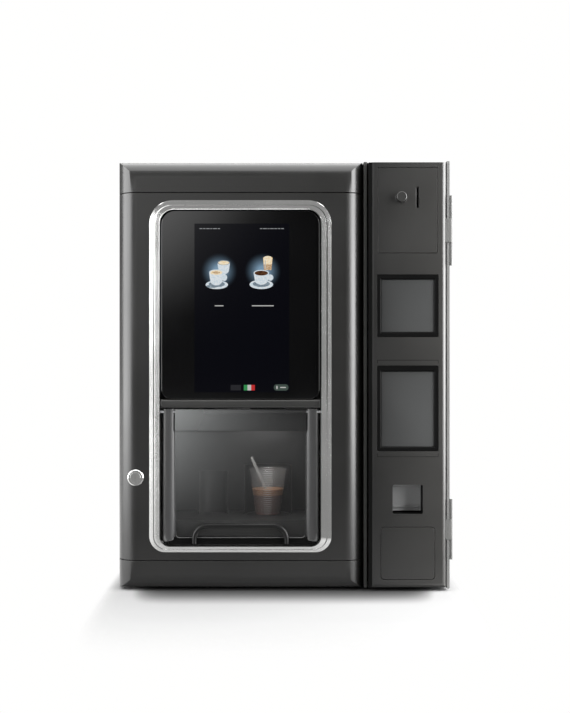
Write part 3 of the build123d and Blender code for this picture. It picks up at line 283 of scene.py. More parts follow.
feed(tree, [
    (pick(tree, ray["Is Camera Ray"], OPEN_GREY, painted_contact_shadow), matt.inputs["Color"]),
    (WARM_WHITE, glow.inputs["Color"]),
    (pick(tree, ray["Is Glossy Ray"], 1.0, in_gloss), glow.inputs["Strength"]),
    (ranged(tree, outward, FADE_FROM, FADE_TO, kind="SMOOTHSTEP"), both.inputs[0]),
    (matt.outputs[0], both.inputs[1]),
    (glow.outputs[0], both.inputs[2]),
    (both.outputs[0], output.inputs[0]),
])
floor.data.materials.append(floor_paint)
print("floor half width", FLOOR_HALF)

# %% [markdown]
# Real surfaces are never one flat colour. Three small effects come back on many finishes, so
# each is a shader group: a moulded grain with uneven gloss, the worn edge of a part that is
# handled, and dust that settles on what faces up. A group gives out only masks and heights;
# each material decides what to do with them. All of them read Object coordinates, so a
# pattern stays on its piece when the piece moves.

# %% Group: moulded grain
def new_group(name, inputs, outputs):
    """A shader group with float inputs (name, default) and float outputs."""
    group = bpy.data.node_groups.new(name, "ShaderNodeTree")
    for label, value in inputs:
        socket = group.interface.new_socket(label, in_out="INPUT", socket_type="NodeSocketFloat")
        socket.default_value = value
    for label in outputs:
        group.interface.new_socket(label, in_out="OUTPUT", socket_type="NodeSocketFloat")
    return (group, group.nodes.new("NodeGroupInput").outputs,
            group.nodes.new("NodeGroupOutput").inputs)


def noise(tree, scale, detail=2.0, stretch=None, roughness=0.5):
    """Noise on Object coordinates; stretch scales the three axes."""
    place = object_place(tree)
    if stretch:
        mapping = add_node(tree, "Mapping")
        feed(tree, [(place, mapping.inputs["Vector"]), (stretch, mapping.inputs["Scale"])])
        place = mapping.outputs["Vector"]
    node = add_node(tree, "TexNoise")
    feed(tree, [(place, node.inputs["Vector"]), (scale, node.inputs["Scale"]),
                (detail, node.inputs["Detail"]), (roughness, node.inputs["Roughness"])])
    return node.outputs["Fac"]


CLOUD_SCALE = 7.0
CLOUD_LOW, CLOUD_HIGH = 0.3, 0.7
grain, inside, outside = new_group(
    "moulded_grain", [("Scale", 900.0), ("Low", 0.3), ("High", 0.4)],
    ["Roughness", "Height", "Cloud"])
cloud = noise(grain, CLOUD_SCALE, 3.0, roughness=0.6)
feed(grain, [
    (ranged(grain, cloud, CLOUD_LOW, CLOUD_HIGH, inside["Low"], inside["High"]),
     outside["Roughness"]),
    (noise(grain, inside["Scale"], 3.0), outside["Height"]),
    (cloud, outside["Cloud"]),
])
print("group:", grain.name)

# %% Group: worn edge
# The Bevel node looks a little way round the surface. Where its normal differs from the
# true one there is an edge, and noise breaks the mask up, because hands wear unevenly.
WEAR_REACH = 0.9 * MM
FLAT_ENOUGH, CLEARLY_EDGE = 0.985, 0.9
wear, inside, outside = new_group("worn_edge", [("Amount", 0.5)], ["Mask"])
rounder = add_node(wear, "Bevel", samples=4)
rounder.inputs["Radius"].default_value = WEAR_REACH
true_normal = add_node(wear, "NewGeometry").outputs["Normal"]
same = dot(wear, rounder.outputs["Normal"], true_normal)
edge = ranged(wear, same, FLAT_ENOUGH, CLEARLY_EDGE)
broken = ranged(wear, noise(wear, 60.0, 4.0), 0.42, 0.62, 0.15, 1.0)


def close_group(group, first, second):
    """Ends a group: its mask is two masks multiplied, times the amount."""
    product = calc(group, "MULTIPLY", first, second)
    feed(group, [(calc(group, "MULTIPLY", product, inside["Amount"]), outside["Mask"])])
    print("group:", group.name)


close_group(wear, edge, broken)

# %% Group: settled dust
dust, inside, outside = new_group("settled_dust", [("Amount", 0.3)], ["Mask"])
facing = axes(dust, add_node(dust, "NewGeometry").outputs["Normal"])
upward = ranged(dust, facing["Z"], 0.6, 1.0)
patches = ranged(dust, noise(dust, 35.0, 6.0, roughness=0.7), 0.35, 0.75, 0.25, 1.0)
close_group(dust, upward, patches)

# %% [markdown]
# One function now builds every opaque finish, from cast rubber to chrome. It mixes the base
# colour with a slightly lighter cloud, then with the worn colour at the edges and with dust
# on top, and drives roughness and bump from the grain. What is the same all over, such as
# metallic and the specular level, is set on the shader itself. A stretched grain makes brushed
# metal.

# %% Opaque finishes
DUST_COLOUR = (0.30, 0.28, 0.25, 1.0)
BUMP_DISTANCE = 0.2 * MM


def group_node(tree, group, **values):
    """A group placed in a tree, with its inputs set by name; returns its outputs."""
    node = add_node(tree, "Group", node_tree=group)
    feed(tree, [(value, node.inputs[label]) for label, value in values.items()])
    return node.outputs


def blend_colours(tree, mask, first, second):
    """A mix of two colours by a mask."""
    node = add_node(tree, "Mix", data_type="RGBA")
    colours = [i for i in node.inputs if i.type == "RGBA"]
    feed(tree, [(mask, node.inputs["Factor"]), (first, colours[0]), (second, colours[1])])
    return next(o for o in node.outputs if o.type == "RGBA")


def lighter(colour, share=1.0):
    """A colour scaled by a share, kept at or under one, with full alpha."""
    return tuple(min(1.0, c * share) for c in colour[:3]) + (1.0,)


def clouds(tree, texture, low=0.0, high=1.0):
    """The grain's soft clouds, mapped to a range."""
    return ranged(tree, texture["Cloud"], CLOUD_LOW, CLOUD_HIGH, low, high)


def new_shader(name, grain_scale, rough):
    """A material with a shader whose roughness follows the grain."""
    material, tree, output = new_material(name)
    shader = add_node(tree, "BsdfPrincipled")
    texture = group_node(tree, grain, Scale=grain_scale, Low=rough[0], High=rough[1])
    feed(tree, [(shader.outputs[0], output.inputs[0]),
                (texture["Roughness"], shader.inputs["Roughness"])])
    return material, tree, shader.inputs, texture


def finish(name, colour, rough, metallic=0.0, grain_scale=900.0, bump=0.05, worn=0.0,
           worn_share=2.2, dusty=0.0, mottle=1.18, stretch=None, specular=0.5):
    """An opaque material: grain, uneven gloss, worn edges and dust over one base colour."""
    material, tree, inputs, texture = new_shader(name, grain_scale, rough)
    shade = blend_colours(tree, clouds(tree, texture), lighter(colour), lighter(colour, mottle))
    for group, amount, tint in ((wear, worn, lighter(colour, worn_share)),
                                (dust, dusty, DUST_COLOUR)):
        if amount > 0:
            mask = group_node(tree, group, Amount=amount)["Mask"]
            shade = blend_colours(tree, mask, shade, tint)
    relief = add_node(tree, "Bump")
    height = noise(tree, 1.0, 3.0, stretch) if stretch else texture["Height"]
    feed(tree, [
        (bump, relief.inputs["Strength"]),
        (BUMP_DISTANCE, relief.inputs["Distance"]),
        (height, relief.inputs["Height"]),
        (relief.outputs["Normal"], inputs["Normal"]),
        (shade, inputs["Base Color"]),
        (metallic, inputs["Metallic"]),
        (specular, inputs["Specular IOR Level"]),
    ])
    return material


print("finish helpers ready")

# %% [markdown]
# The palette. The door, cap and plinth are one dark moulding in satin anthracite, and the
# column's front is a shade lighter. The cabinet's sheets are powder coated, with an
# orange-peel skin. The ring is chrome, the screen black glass, and inside the cabinet the
# parts are bare steel, copper and the pale plastics that food machines use. Each row gives a
# slot of the record, or a finish of one piece's own, with its colour and its least and
# greatest roughness.

# %% Palette
PALETTE = (
    ("front_moulding", (0.0040, 0.0039, 0.0036), (0.30, 0.37),
     dict(bump=0.035, worn=0.35, dusty=0.05)),
    ("coated_steel", (0.026, 0.026, 0.025), (0.40, 0.50),
     dict(grain_scale=620.0, bump=0.12, worn=0.5, dusty=0.1, specular=0.2)),
    ("bright_trim", (0.68, 0.68, 0.67), (0.10, 0.16),
     dict(metallic=1.0, grain_scale=500.0, bump=0.004, mottle=1.03)),
    ("black_glass", (0.0012, 0.0012, 0.0013), (0.05, 0.09), dict(bump=0.0, mottle=1.3)),
    ("screen", (0.0012, 0.0012, 0.0022), (0.10, 0.16),
     dict(bump=0.0, mottle=1.5, specular=0.15)),
    ("black_plastic", (0.012, 0.012, 0.0115), (0.28, 0.36), dict(worn=0.3, dusty=0.1)),
    ("smoked_plastic", (0.014, 0.014, 0.0135), (0.16, 0.24), dict(bump=0.02, worn=0.25)),
    ("module_panel", (0.026, 0.0268, 0.0268), (0.30, 0.38), dict(bump=0.04, worn=0.3)),
    ("pale_plastic", (0.60, 0.60, 0.57), (0.38, 0.5), dict(mottle=0.93, dusty=0.1)),
    ("niche_plastic", (0.022, 0.022, 0.0215), (0.30, 0.42), dict(bump=0.012, worn=0.2)),
    ("zinc_steel", (0.55, 0.56, 0.57), (0.28, 0.46),
     dict(metallic=1.0, bump=0.03, mottle=0.82, worn=0.2, worn_share=1.4, dusty=0.15)),
    ("foot_rubber", (0.016, 0.016, 0.016), (0.62, 0.8), dict(bump=0.25, dusty=0.2)),
    ("boiler_steel", (0.60, 0.59, 0.57), (0.22, 0.34),
     dict(metallic=1.0, bump=0.06, mottle=0.88, stretch=(900.0, 900.0, 30.0), dusty=0.1)),
    ("machine_plastic", (0.12, 0.125, 0.13), (0.4, 0.52), dict(bump=0.08, worn=0.3, dusty=0.15)),
    ("changer_plastic", (0.05, 0.07, 0.10), (0.36, 0.46), dict(bump=0.06, worn=0.3, dusty=0.1)),
    ("white_plastic", (0.78, 0.78, 0.75), (0.3, 0.42), dict(bump=0.04, mottle=0.95)),
    ("pipe_copper", (0.82, 0.42, 0.26), (0.2, 0.36),
     dict(metallic=1.0, bump=0.02, mottle=0.72, stretch=(200.0, 200.0, 200.0))),
    ("flap_gloss", (0.018, 0.018, 0.0185), (0.40, 0.48), dict(bump=0.01, worn=0.2)),
    ("grip_gloss", (0.003, 0.003, 0.003), (0.26, 0.34),
     dict(bump=0.01, worn=0.2, specular=0.22)),
    ("edge_grey", (0.115, 0.115, 0.113), (0.36, 0.46),
     dict(grain_scale=620.0, bump=0.10, worn=0.4, dusty=0.1)),
    ("coin_flap_grey", (0.17, 0.172, 0.172), (0.4, 0.5), dict(worn=0.3)),
    ("module_frame", (0.0012, 0.0012, 0.0012), (0.42, 0.5), dict(bump=0.03, specular=0.06)),
    ("hinge_grey", (0.08, 0.08, 0.078), (0.40, 0.50), dict(bump=0.04, worn=0.4, specular=0.3)),
    # The flap's lip is a paler grey: a painted highlight along the window's foot.
    ("flap_edge", (0.06, 0.06, 0.06), (0.24, 0.32), dict(bump=0.01)),
    ("column_moulding", (0.010, 0.0098, 0.0092), (0.30, 0.38),
     dict(grain_scale=700.0, bump=0.06, worn=0.3)),
)
finishes = {slot: finish(slot, colour, rough, **more) for slot, colour, rough, more in PALETTE}
print("opaque finishes:", len(finishes))

# %% [markdown]
# Clear plastics let light through. The hopper and the stirrer are drawn as thin plastic with
# an even alpha. The flap's window and its upper band are tinted sheet with a painted
# reflection: a paler, less clear sheen painted strongest in one upper corner, so both the
# alpha and the grey grow towards it.

# %% Clear plastics
CLEAR_GRAIN = 400.0
PAINTED_SHEEN_GATHERS = 2.1
window_low, window_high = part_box("flap_window")


def clear_plastic(name, colour, alpha, rough, cloudy=0.06):
    """A thin see-through plastic; its alpha rises a little in faint clouds."""
    material, tree, inputs, texture = new_shader(name, CLEAR_GRAIN, rough)
    feed(tree, [(lighter(colour), inputs["Base Color"]),
                (clouds(tree, texture, alpha, alpha + cloudy), inputs["Alpha"])])
    return material


def painted_sheen_sheet(name, alphas, greys, rough):
    """Tinted sheet with a painted reflection: alpha and grey run from its clear corner to its
    sheened one.
    """
    material, tree, inputs, _ = new_shader(name, CLEAR_GRAIN, rough)
    place = axes(tree, object_place(tree))
    across = ranged(tree, place["X"], window_high.x, window_low.x)
    upward = ranged(tree, place["Z"], window_low.z, window_high.z)
    # How strongly the painted sheen lies at a point: 0 in the clear corner, 1 in the upper one.
    painted_sheen = calc(tree, "MULTIPLY", calc(tree, "POWER", across, PAINTED_SHEEN_GATHERS), upward)
    clear, sheen_grey = greys
    feed(tree, [
        (blend_colours(tree, painted_sheen, (clear, clear, clear, 1.0),
                       (sheen_grey * 0.97, sheen_grey, sheen_grey, 1.0)), inputs["Base Color"]),
        (ranged(tree, painted_sheen, 0.0, 1.0, *alphas), inputs["Alpha"]),
    ])
    return material


# The window and band carry the painted reflection; their grey and alpha rise towards the upper
# corner.
finishes["smoked_window"] = painted_sheen_sheet("smoked_window", (0.15, 0.84), (0.022, 0.130), (0.08, 0.12))
finishes["flap_band"] = painted_sheen_sheet("flap_band", (0.80, 0.88), (0.010, 0.125), (0.16, 0.22))
finishes["pale_clear_plastic"] = clear_plastic(
    "hopper_clear", (0.50, 0.52, 0.52), 0.42, (0.12, 0.2))
finishes["stirrer_clear"] = clear_plastic(
    "stirrer_clear", (0.50, 0.49, 0.47), 0.38, (0.2, 0.3), 0.05)
print("finishes so far:", len(finishes))

# %% Cup plastic
# The cup's ribs carry a painted highlight along the front of each crest: a paler, less clear
# stripe where a light in front would glint. A cosine of the height marks the crests, and the
# side's direction marks the front.
CUP_COLOUR, PAINTED_HIGHLIGHT_COLOUR = (0.44, 0.43, 0.42, 1.0), (1.0, 1.0, 0.98, 1.0)
RIB_PITCH, FIRST_CREST = 3.6 * MM, 3.3 * MM
finishes["clear_cup"] = clear_plastic("cup_clear", CUP_COLOUR, 0.13, (0.08, 0.14), 0.03)
tree = finishes["clear_cup"].node_tree
inputs = next(node for node in tree.nodes if node.type == "BSDF_PRINCIPLED").inputs
height = axes(tree, object_place(tree))["Z"]
frontward = axes(tree, add_node(tree, "TexCoord").outputs["Normal"])["Y"]
turn = 2 * math.pi / RIB_PITCH
crest_turn = -turn * (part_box("cup")[0].z + FIRST_CREST)
wave = calc(tree, "COSINE", calc(tree, "MULTIPLY_ADD", height, turn, crest_turn))
# The painted highlight: paler and less clear on the front of each rib's crest.
painted_highlight = calc(tree, "MULTIPLY", ranged(tree, wave, 0.0, 1.0, 0.0, 0.5),
             ranged(tree, frontward, -0.90, -1.0))
feed(tree, [
    (calc(tree, "ADD", inputs["Alpha"].links[0].from_socket, painted_highlight), inputs["Alpha"]),
    (blend_colours(tree, painted_highlight, CUP_COLOUR, PAINTED_HIGHLIGHT_COLOUR), inputs["Base Color"]),
])
print("rib pitch in mm:", round(RIB_PITCH / MM, 1))

# %% Coffee
# Light crema floats on dark coffee: the colour turns from brown to tan over the last
# millimetres below the surface, and fine bubbles give the crema its grain.
CREMA_DEPTH, CREMA_EDGE = 9 * MM, 3 * MM
material, tree, output = new_material("coffee_with_crema")
shader = add_node(tree, "BsdfPrincipled")
crema_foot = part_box("coffee")[1].z - CREMA_DEPTH
height = axes(tree, object_place(tree))["Z"]
level = ranged(tree, height, crema_foot - CREMA_EDGE, crema_foot)
bubbles = ranged(tree, noise(tree, 700.0, 4.0), 0.35, 0.65)
crema = blend_colours(tree, bubbles, (0.32, 0.13, 0.045, 1.0), (0.46, 0.22, 0.09, 1.0))
feed(tree, [
    (shader.outputs[0], output.inputs[0]),
    (blend_colours(tree, level, (0.090, 0.020, 0.007, 1.0), crema), shader.inputs["Base Color"]),
    (ranged(tree, bubbles, 0.0, 1.0, 0.25, 0.5), shader.inputs["Roughness"]),
])
finishes["coffee"] = material
print("finishes:", len(finishes))

# %% [markdown]
# Each node of the frame names a material slot in the record. A node that keeps its own shape
# gets the finish of its slot here; pieces that are modelled anew below replace some of them.
# The column's coating and its module panels carry painted light: their colour is scaled
# from left to right, darker at the left and paler towards the hinge side, as a light from
# the right would show them.

# %% Finish every node
def painted_light_across(material, node, left, right):
    """Scales a finish's colour from one share at a node's left edge to another at its right: a
    painted light gradient.
    """
    low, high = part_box(node)
    tree = material.node_tree
    inputs = next(n for n in tree.nodes if n.type == "BSDF_PRINCIPLED").inputs
    scaled = add_node(tree, "VectorMath", operation="SCALE")
    share = ranged(tree, axes(tree, object_place(tree))["X"], low.x, high.x, left, right)
    feed(tree, [
        (inputs["Base Color"].links[0].from_socket, scaled.inputs[0]),
        (share, scaled.inputs["Scale"]),
        (scaled.outputs["Vector"], inputs["Base Color"]),
    ])


painted_light_across(finishes["column_moulding"], "column_front", 0.35, 1.75)
painted_light_across(finishes["module_panel"], "upper_module_cover", 0.50, 1.13)
slot_of = {part["node"]: part["material_slot"] for part in frame["record"]["subparts"]}
for node, cad_object in frame["nodes"].items():
    cad_object.data.materials.clear()
    cad_object.data.materials.append(
        finishes["stirrer_clear" if node == "stirrer" else slot_of[node]])
print("nodes finished:", len(frame["nodes"]))

# %% [markdown]
# Moulded and folded parts never have knife edges. The frame's pieces are exact but sharp,
# and their surface is loose triangles. So each one that shows gets a twin: a copy whose
# doubles are merged and whose flat areas are one face again, with a small bevel on its sharp
# edges and smooth shading. The bevel catches the light as a thin line, which is what makes
# a seam between two panels read as a seam.

# %% Mounting
def mount(piece, body, slot, *stands_for, finish_name=None):
    """Rides a piece on its body and gives it the finish of its slot, or its own finish if one is
    named.
    """
    piece.data.materials.clear()
    piece.data.materials.append(finishes[finish_name or slot])
    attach(piece, body)
    if stands_for:
        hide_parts(*stands_for)
    return piece


def shade_by_angle(shape, angle):
    """Smooth faces, with every edge sharper than an angle in degrees kept crisp."""
    for face in shape.faces:
        face.smooth = True
    for edge in shape.edges:
        edge.smooth = (len(edge.link_faces) == 2
                       and edge.calc_face_angle(0.0) < math.radians(angle))


def roll_edges(shape, edges, radius, segments=8):
    """Bevels edges round to a radius in mm."""
    bmesh.ops.bevel(shape, geom=edges, offset=radius * MM, offset_type="OFFSET",
                    affect="EDGES", segments=segments, profile=0.5, material=-1)


print("mounting helpers ready")

# %% Softened twins
MERGE_DISTANCE = 0.002 * MM
FLAT_ANGLE, BEVEL_ANGLE, SMOOTH_ANGLE = math.radians(0.5), math.radians(35.0), 22.0
COLUMN_ROLL, NEAR = 3.5, 0.05
column_low, column_high = box_mm("column_front")
housing_low, housing_high = box_mm("column_housing")


def draw_back(shape, node, seam):
    """Draws a panel back all round by some mm, to open the gap about it."""
    low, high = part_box(node)
    middle, size = (low + high) / 2, high - low
    share = Vector((1 - 2 * seam * MM / size.x, 1, 1 - 2 * seam * MM / size.z))
    for vert in shape.verts:
        vert.co = Vector(m + (c - m) * k for c, m, k in zip(vert.co, middle, share))


def softened(node, width):
    """A copy of a frame piece with bevelled edges, standing for it on the same body."""
    source = frame["nodes"][node]
    mesh = source.data.copy()
    mesh.name = node + "_soft"
    twin = add_object(mesh.name, mesh)
    shape = bmesh.new()
    shape.from_mesh(mesh)
    bmesh.ops.remove_doubles(shape, verts=shape.verts, dist=MERGE_DISTANCE)
    bmesh.ops.dissolve_degenerate(shape, edges=shape.edges, dist=MERGE_DISTANCE)
    bmesh.ops.dissolve_limit(shape, angle_limit=FLAT_ANGLE, verts=shape.verts, edges=shape.edges)
    if node in seams:
        draw_back(shape, node, seams[node])
    if node == "column_front":
        roll_edges(shape, [edge for edge in shape.edges if all(
            abs(v.co.x / MM - column_high.x) < NEAR and abs(v.co.y / MM - column_low.y) < NEAR
            for v in edge.verts)], COLUMN_ROLL)
    bmesh.ops.recalc_face_normals(shape, faces=shape.faces)
    shade_by_angle(shape, SMOOTH_ANGLE)
    shape.to_mesh(mesh)
    shape.free()
    bevel = twin.modifiers.new("soft_edges", "BEVEL")
    bevel.width = width
    bevel.segments = 2
    bevel.limit_method = "ANGLE"
    bevel.angle_limit = BEVEL_ANGLE
    weighted = twin.modifiers.new("even_shading", "WEIGHTED_NORMAL")
    weighted.keep_sharp = True
    mount(twin, source["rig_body"], slot_of[node], node, finish_name=own_finish.get(node))


seams = {"payment_plate": 0.55, "bottom_cover": 0.55}
own_finish = {
    "column_front": "column_moulding", "payment_plate": "column_moulding",
    "bottom_cover": "column_moulding", "upper_module_frame": "module_frame",
    "lower_module_frame": "module_frame", "coin_return_cup": "module_frame",
    "coin_return_flap": "coin_flap_grey", "column_hinge_arms": "hinge_grey",
    "column_hinge_leaves": "hinge_grey",
}
# The bevel's width in mm on every piece that gets a twin.
bevel_widths = {
    "column_hinge_arms": 0.4, "column_hinge_leaves": 0.3,
    "door_panel": 0.7, "top_cap": 0.7, "plinth": 0.7, "column_front": 0.2,
    "centre_mullion": 0.4, "column_housing": 0.6, "left_side_panel": 0.4, "back_panel": 0.3,
    "top_lid": 0.5, "payment_plate": 0.15, "upper_module_frame": 0.35,
    "lower_module_frame": 0.35, "upper_module_cover": 0.3, "lower_module_cover": 0.3,
    "bottom_cover": 0.15, "coin_return_cup": 0.3, "coin_return_flap": 0.3,
    "display_glass": 0.7, "flap_header": 0.4, "lock_housing": 0.25, "waste_bin": 0.5,
    "drip_tray": 0.4, "cup_stand": 0.4, "nozzle_block": 0.5, "brew_unit": 0.6,
    "grinder": 0.6, "coin_changer": 0.6, "coin_box": 0.4, "display_panel": 0.5,
    "door_back_cover": 0.4, "niche_liner": 0.4, "bean_hopper": 0.4, "canister_left": 0.5,
    "canister_right": 0.5, "service_shelf": 0.3,
}
for node, width in bevel_widths.items():
    softened(node, width * MM)
print("softened twins:", len(bevel_widths))

# %% [markdown]
# The chrome ring frames the door's opening. Its section has a sloping outer lip, a fine
# groove and ridge, and a wider band that slopes outwards to a flat crest and turns over it
# into the opening. Each line of the section is a rounded rectangle, and bands of faces join
# the lines one after another into a closed tube. Bridging loops would do this too, but it
# twists two lines that lie in one plane, as the groove's floor does, so the faces are made
# one by one. At the top the section leans evenly, so that the ring stays a quiet grey there
# while its sides catch two bright lines.

# %% Chrome ring
def arc(x, z, wide, high, start, end, steps):
    """Points on part of an oval, from one angle in degrees to another."""
    turns = [math.radians(start + (end - start) * i / steps) for i in range(steps + 1)]
    return [(x + wide * math.cos(turn), z + high * math.sin(turn)) for turn in turns]


def rounded_rectangle(left, right, low, high, foot, head, steps):
    """Points of a rectangle with rounded corners, anticlockwise from low right."""
    points = []
    for x, z, radius, start in (
            (right - foot, low + foot, foot, -90), (right - head, high - head, head, 0),
            (left + head, high - head, head, 90), (left + foot, low + foot, foot, 180)):
        points += arc(x, z, radius, radius, start, start + 90, steps)
    return points


def join_lines(shape, lines, closed=False):
    """Bands of faces between closed lines of points, and a cap on each end if it is open."""
    for first, second in zip(lines, lines[1:] + lines[:1] * closed):
        for i in range(len(first)):
            j = (i + 1) % len(first)
            shape.faces.new((first[i], first[j], second[j], second[i]))
    if not closed:
        shape.faces.new(lines[0])
        shape.faces.new(lines[-1])
    bmesh.ops.recalc_face_normals(shape, faces=shape.faces)


# Each line of the section: how proud it is, and its inset at the side, the top and the
# bottom, in mm. The edges between the facets stay crisp, as on a rolled, polished profile.
SECTION = (
    (0.0, 0.0, 0.0, 0.0), (0.5, 0.02, 1.7, 0.05), (2.58, 6.60, 8.6, 4.4),
    (1.9, 6.61, 8.7, 4.41), (1.9, 8.80, 8.9, 5.2), (2.75, 11.4, 11.6, 6.4),
    (4.05, 16.2, 15.6, 8.9), (4.4, 17.3, 16.3, 9.7), (4.4, 18.4, 16.6, 10.4),
    (-14.0, 20.0, 17.0, 11.0), (-13.0, 6.0, 6.0, 6.0), (-1.0, 6.0, 6.0, 6.0),
)
TOP_RADIUS, BOTTOM_RADIUS, CORNER_STEPS = 41.0, 28.0, 14
ring_low, ring_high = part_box("chrome_ring")


def ring_line(shape, rise, side, top, bottom):
    """One line of the section, all the way round the opening."""
    points = rounded_rectangle(
        ring_low.x + side * MM, ring_high.x - side * MM, ring_low.z + bottom * MM,
        ring_high.z - top * MM, (BOTTOM_RADIUS - bottom) * MM, (TOP_RADIUS - top) * MM,
        CORNER_STEPS)
    return [shape.verts.new((x, FRONT_Y - rise * MM, z)) for x, z in points]


def chrome_ring(shape):
    join_lines(shape, [ring_line(shape, *line) for line in SECTION], closed=True)
    shade_by_angle(shape, 9.0)


ring = mount(new_object("chrome_ring_profile", chrome_ring), "door", "bright_trim", "chrome_ring")
print("ring faces:", len(ring.data.polygons))

# %% [markdown]
# The screen shows a menu: two groups of drinks in a pale glow on black, with short plain
# bars where a menu has its words. Everything is flat pieces a few hundredths of a millimetre
# apart, placed on the lit area, and each glows with its own colour.

# %% Screen colours
LIT_BLACK = (0.0010, 0.0012, 0.0035)


def glowing(name, strength):
    """A nearly black gloss that glows; its glow colour is left to the caller."""
    material, tree, output = new_material(name)
    shader = add_node(tree, "BsdfPrincipled")
    feed(tree, [
        (0.12, shader.inputs["Roughness"]),
        (0.15, shader.inputs["Specular IOR Level"]),
        ((0.0006, 0.0006, 0.0008, 1.0), shader.inputs["Base Color"]),
        (strength, shader.inputs["Emission Strength"]),
        (shader.outputs[0], output.inputs[0]),
    ])
    return material, tree, shader.inputs["Emission Color"]


def patchy_glow(name, colour, strength, second=None):
    """A colour that the screen shows; a second colour drifts into it in soft patches."""
    material, tree, glow_colour = glowing(name, strength)
    patches = ranged(tree, noise(tree, 420.0), 0.42, 0.6)
    shade = blend_colours(tree, patches, lighter(colour), lighter(second or colour))
    feed(tree, [(shade, glow_colour)])
    return material


for name, *look in (
        ("china", (0.86, 0.90, 0.93), 0.80, (0.66, 0.78, 0.86)),
        ("shade", (0.40, 0.50, 0.58), 0.55, (0.24, 0.32, 0.40)),
        ("coffee", (0.06, 0.022, 0.008), 0.7, (0.14, 0.055, 0.02)),
        ("foam", (0.92, 0.70, 0.40), 0.85, (0.95, 0.86, 0.68)),
        ("latte", (0.62, 0.38, 0.20), 0.7, (0.85, 0.66, 0.45)),
        ("tick", (0.70, 0.72, 0.75), 0.42),
        ("green", (0.04, 0.30, 0.09), 0.8),
        ("white", (0.80, 0.80, 0.78), 0.6),
        ("red", (0.60, 0.03, 0.03), 0.8),
        ("pill", (0.07, 0.10, 0.085), 0.7),
        ("lit_black", LIT_BLACK, 0.5, (0.0016, 0.0018, 0.0050)),
        ("dim", (0.03, 0.03, 0.035), 0.6)):
    finishes["screen_" + name] = patchy_glow("screen_" + name, *look)
print("screen colours:", sum(name.startswith("screen_") for name in finishes))

# %% Screen shapes
LIT_MARGIN = Vector((5.4, 0, 5.6)) * MM
LAYER = 0.03 * MM
panel_low, panel_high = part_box("display_panel")
lit_left, _, lit_bottom = (panel_low + LIT_MARGIN) / MM
lit_right, _, lit_top = (panel_high - LIT_MARGIN) / MM
SCREEN_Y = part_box("display_glass")[0].y - 0.02 * MM
menu = []


def oval(x, z, half_wide, half_high):
    """Points of a whole oval."""
    return arc(x, z, half_wide, half_high, 0, 360, 28)[:-1]


def bar(left, right, low, high, corner=0.0):
    """Points of a rectangle, with rounded corners if it has any."""
    if corner:
        return rounded_rectangle(left, right, low, high, corner, corner, 4)
    return [(left, low), (right, low), (right, high), (left, high)]


def show(name, colour, layer, *outlines):
    """Flat faces on the glass, in a screen colour, from outlines of (x, z) points in mm."""
    y = SCREEN_Y - layer * LAYER

    def fill(shape):
        for outline in outlines:
            shape.faces.new([shape.verts.new((x * MM, y, z * MM)) for x, z in outline])
        bmesh.ops.recalc_face_normals(shape, faces=shape.faces)
        for face in shape.faces:
            if face.normal.y > 0:
                face.normal_flip()

    menu.append(mount(new_object(name, fill), "door", "screen",
                      finish_name="screen_" + colour))


def cup_outlines(x, z, wide, high):
    """A cup seen a little from above: its body, its mouth's rim and the drink in it."""
    top, lip = z + high, wide * 0.20
    body = [(x - wide / 2, top)]
    body += arc(x, z + high * 0.34, wide * 0.42, high * 0.42, 180, 360, 15)
    body += [(x + wide / 2, top)]
    return body, oval(x, top, wide / 2, lip), oval(x, z + high * 0.985, wide * 0.43, lip * 0.78)


print("lit area in mm:", round(lit_right - lit_left, 1), "by", round(lit_top - lit_bottom, 1))

# %% Drinks and bars on the screen
HALO_REACH = 33


def halo(name, x, z):
    """A pale glow behind a group of drinks, brightest in its middle and black at its rim."""
    material, tree, glow_colour = glowing(name, 0.6)
    shift = add_node(tree, "VectorMath", operation="SUBTRACT")
    away = add_node(tree, "VectorMath", operation="LENGTH")
    near = ranged(tree, away.outputs["Value"], HALO_REACH * MM, 0.25 * HALO_REACH * MM)
    shade = blend_colours(tree, calc(tree, "POWER", near, 2.0), lighter(LIT_BLACK),
                          (0.30, 0.48, 0.66, 1.0))
    feed(tree, [
        (object_place(tree), shift.inputs[0]),
        ((x * MM, SCREEN_Y, z * MM), shift.inputs[1]),
        (shift.outputs["Vector"], away.inputs[0]),
        (shade, glow_colour),
    ])
    return material


show("screen_ground", "lit_black", 0, bar(lit_left, lit_right, lit_bottom, lit_top))
z = lit_top - 83
left_x, right_x = lit_left + 43, lit_left + 119
for name, x in (("halo_coffees", left_x), ("halo_drinks", right_x)):
    finishes["screen_" + name] = halo(name, x, z)
    show(name, name, 1, oval(x, z, HALO_REACH, HALO_REACH))

# Left group: a small cup behind, a cappuccino on its saucer in front.
x = left_x
body, rim, drink = cup_outlines(x + 8, z - 4, 22, 19)
show("back_cup_body", "china", 2, body)
show("back_cup_rim", "shade", 3, rim)
show("back_cup_drink", "foam", 4, drink)
show("front_saucer", "china", 3, oval(x - 4, z - 23.5, 19.5, 7.5))
show("front_saucer_well", "shade", 4, oval(x - 4, z - 22.5, 14, 5))
body, rim, drink = cup_outlines(x - 5, z - 23, 25, 21)
show("front_cup_body", "china", 5, body, oval(x + 9, z - 11, 5, 6))
show("front_cup_rim", "china", 6, rim)
show("front_cup_foam", "foam", 7, drink)
show("front_cup_swirl", "latte", 8, oval(x - 5, z - 2.3, 6.5, 2.0))
show("front_spoon", "shade", 8, oval(x - 12, z - 27.5, 8, 1.4),
     oval(x - 19, z - 26, 3, 1.8))

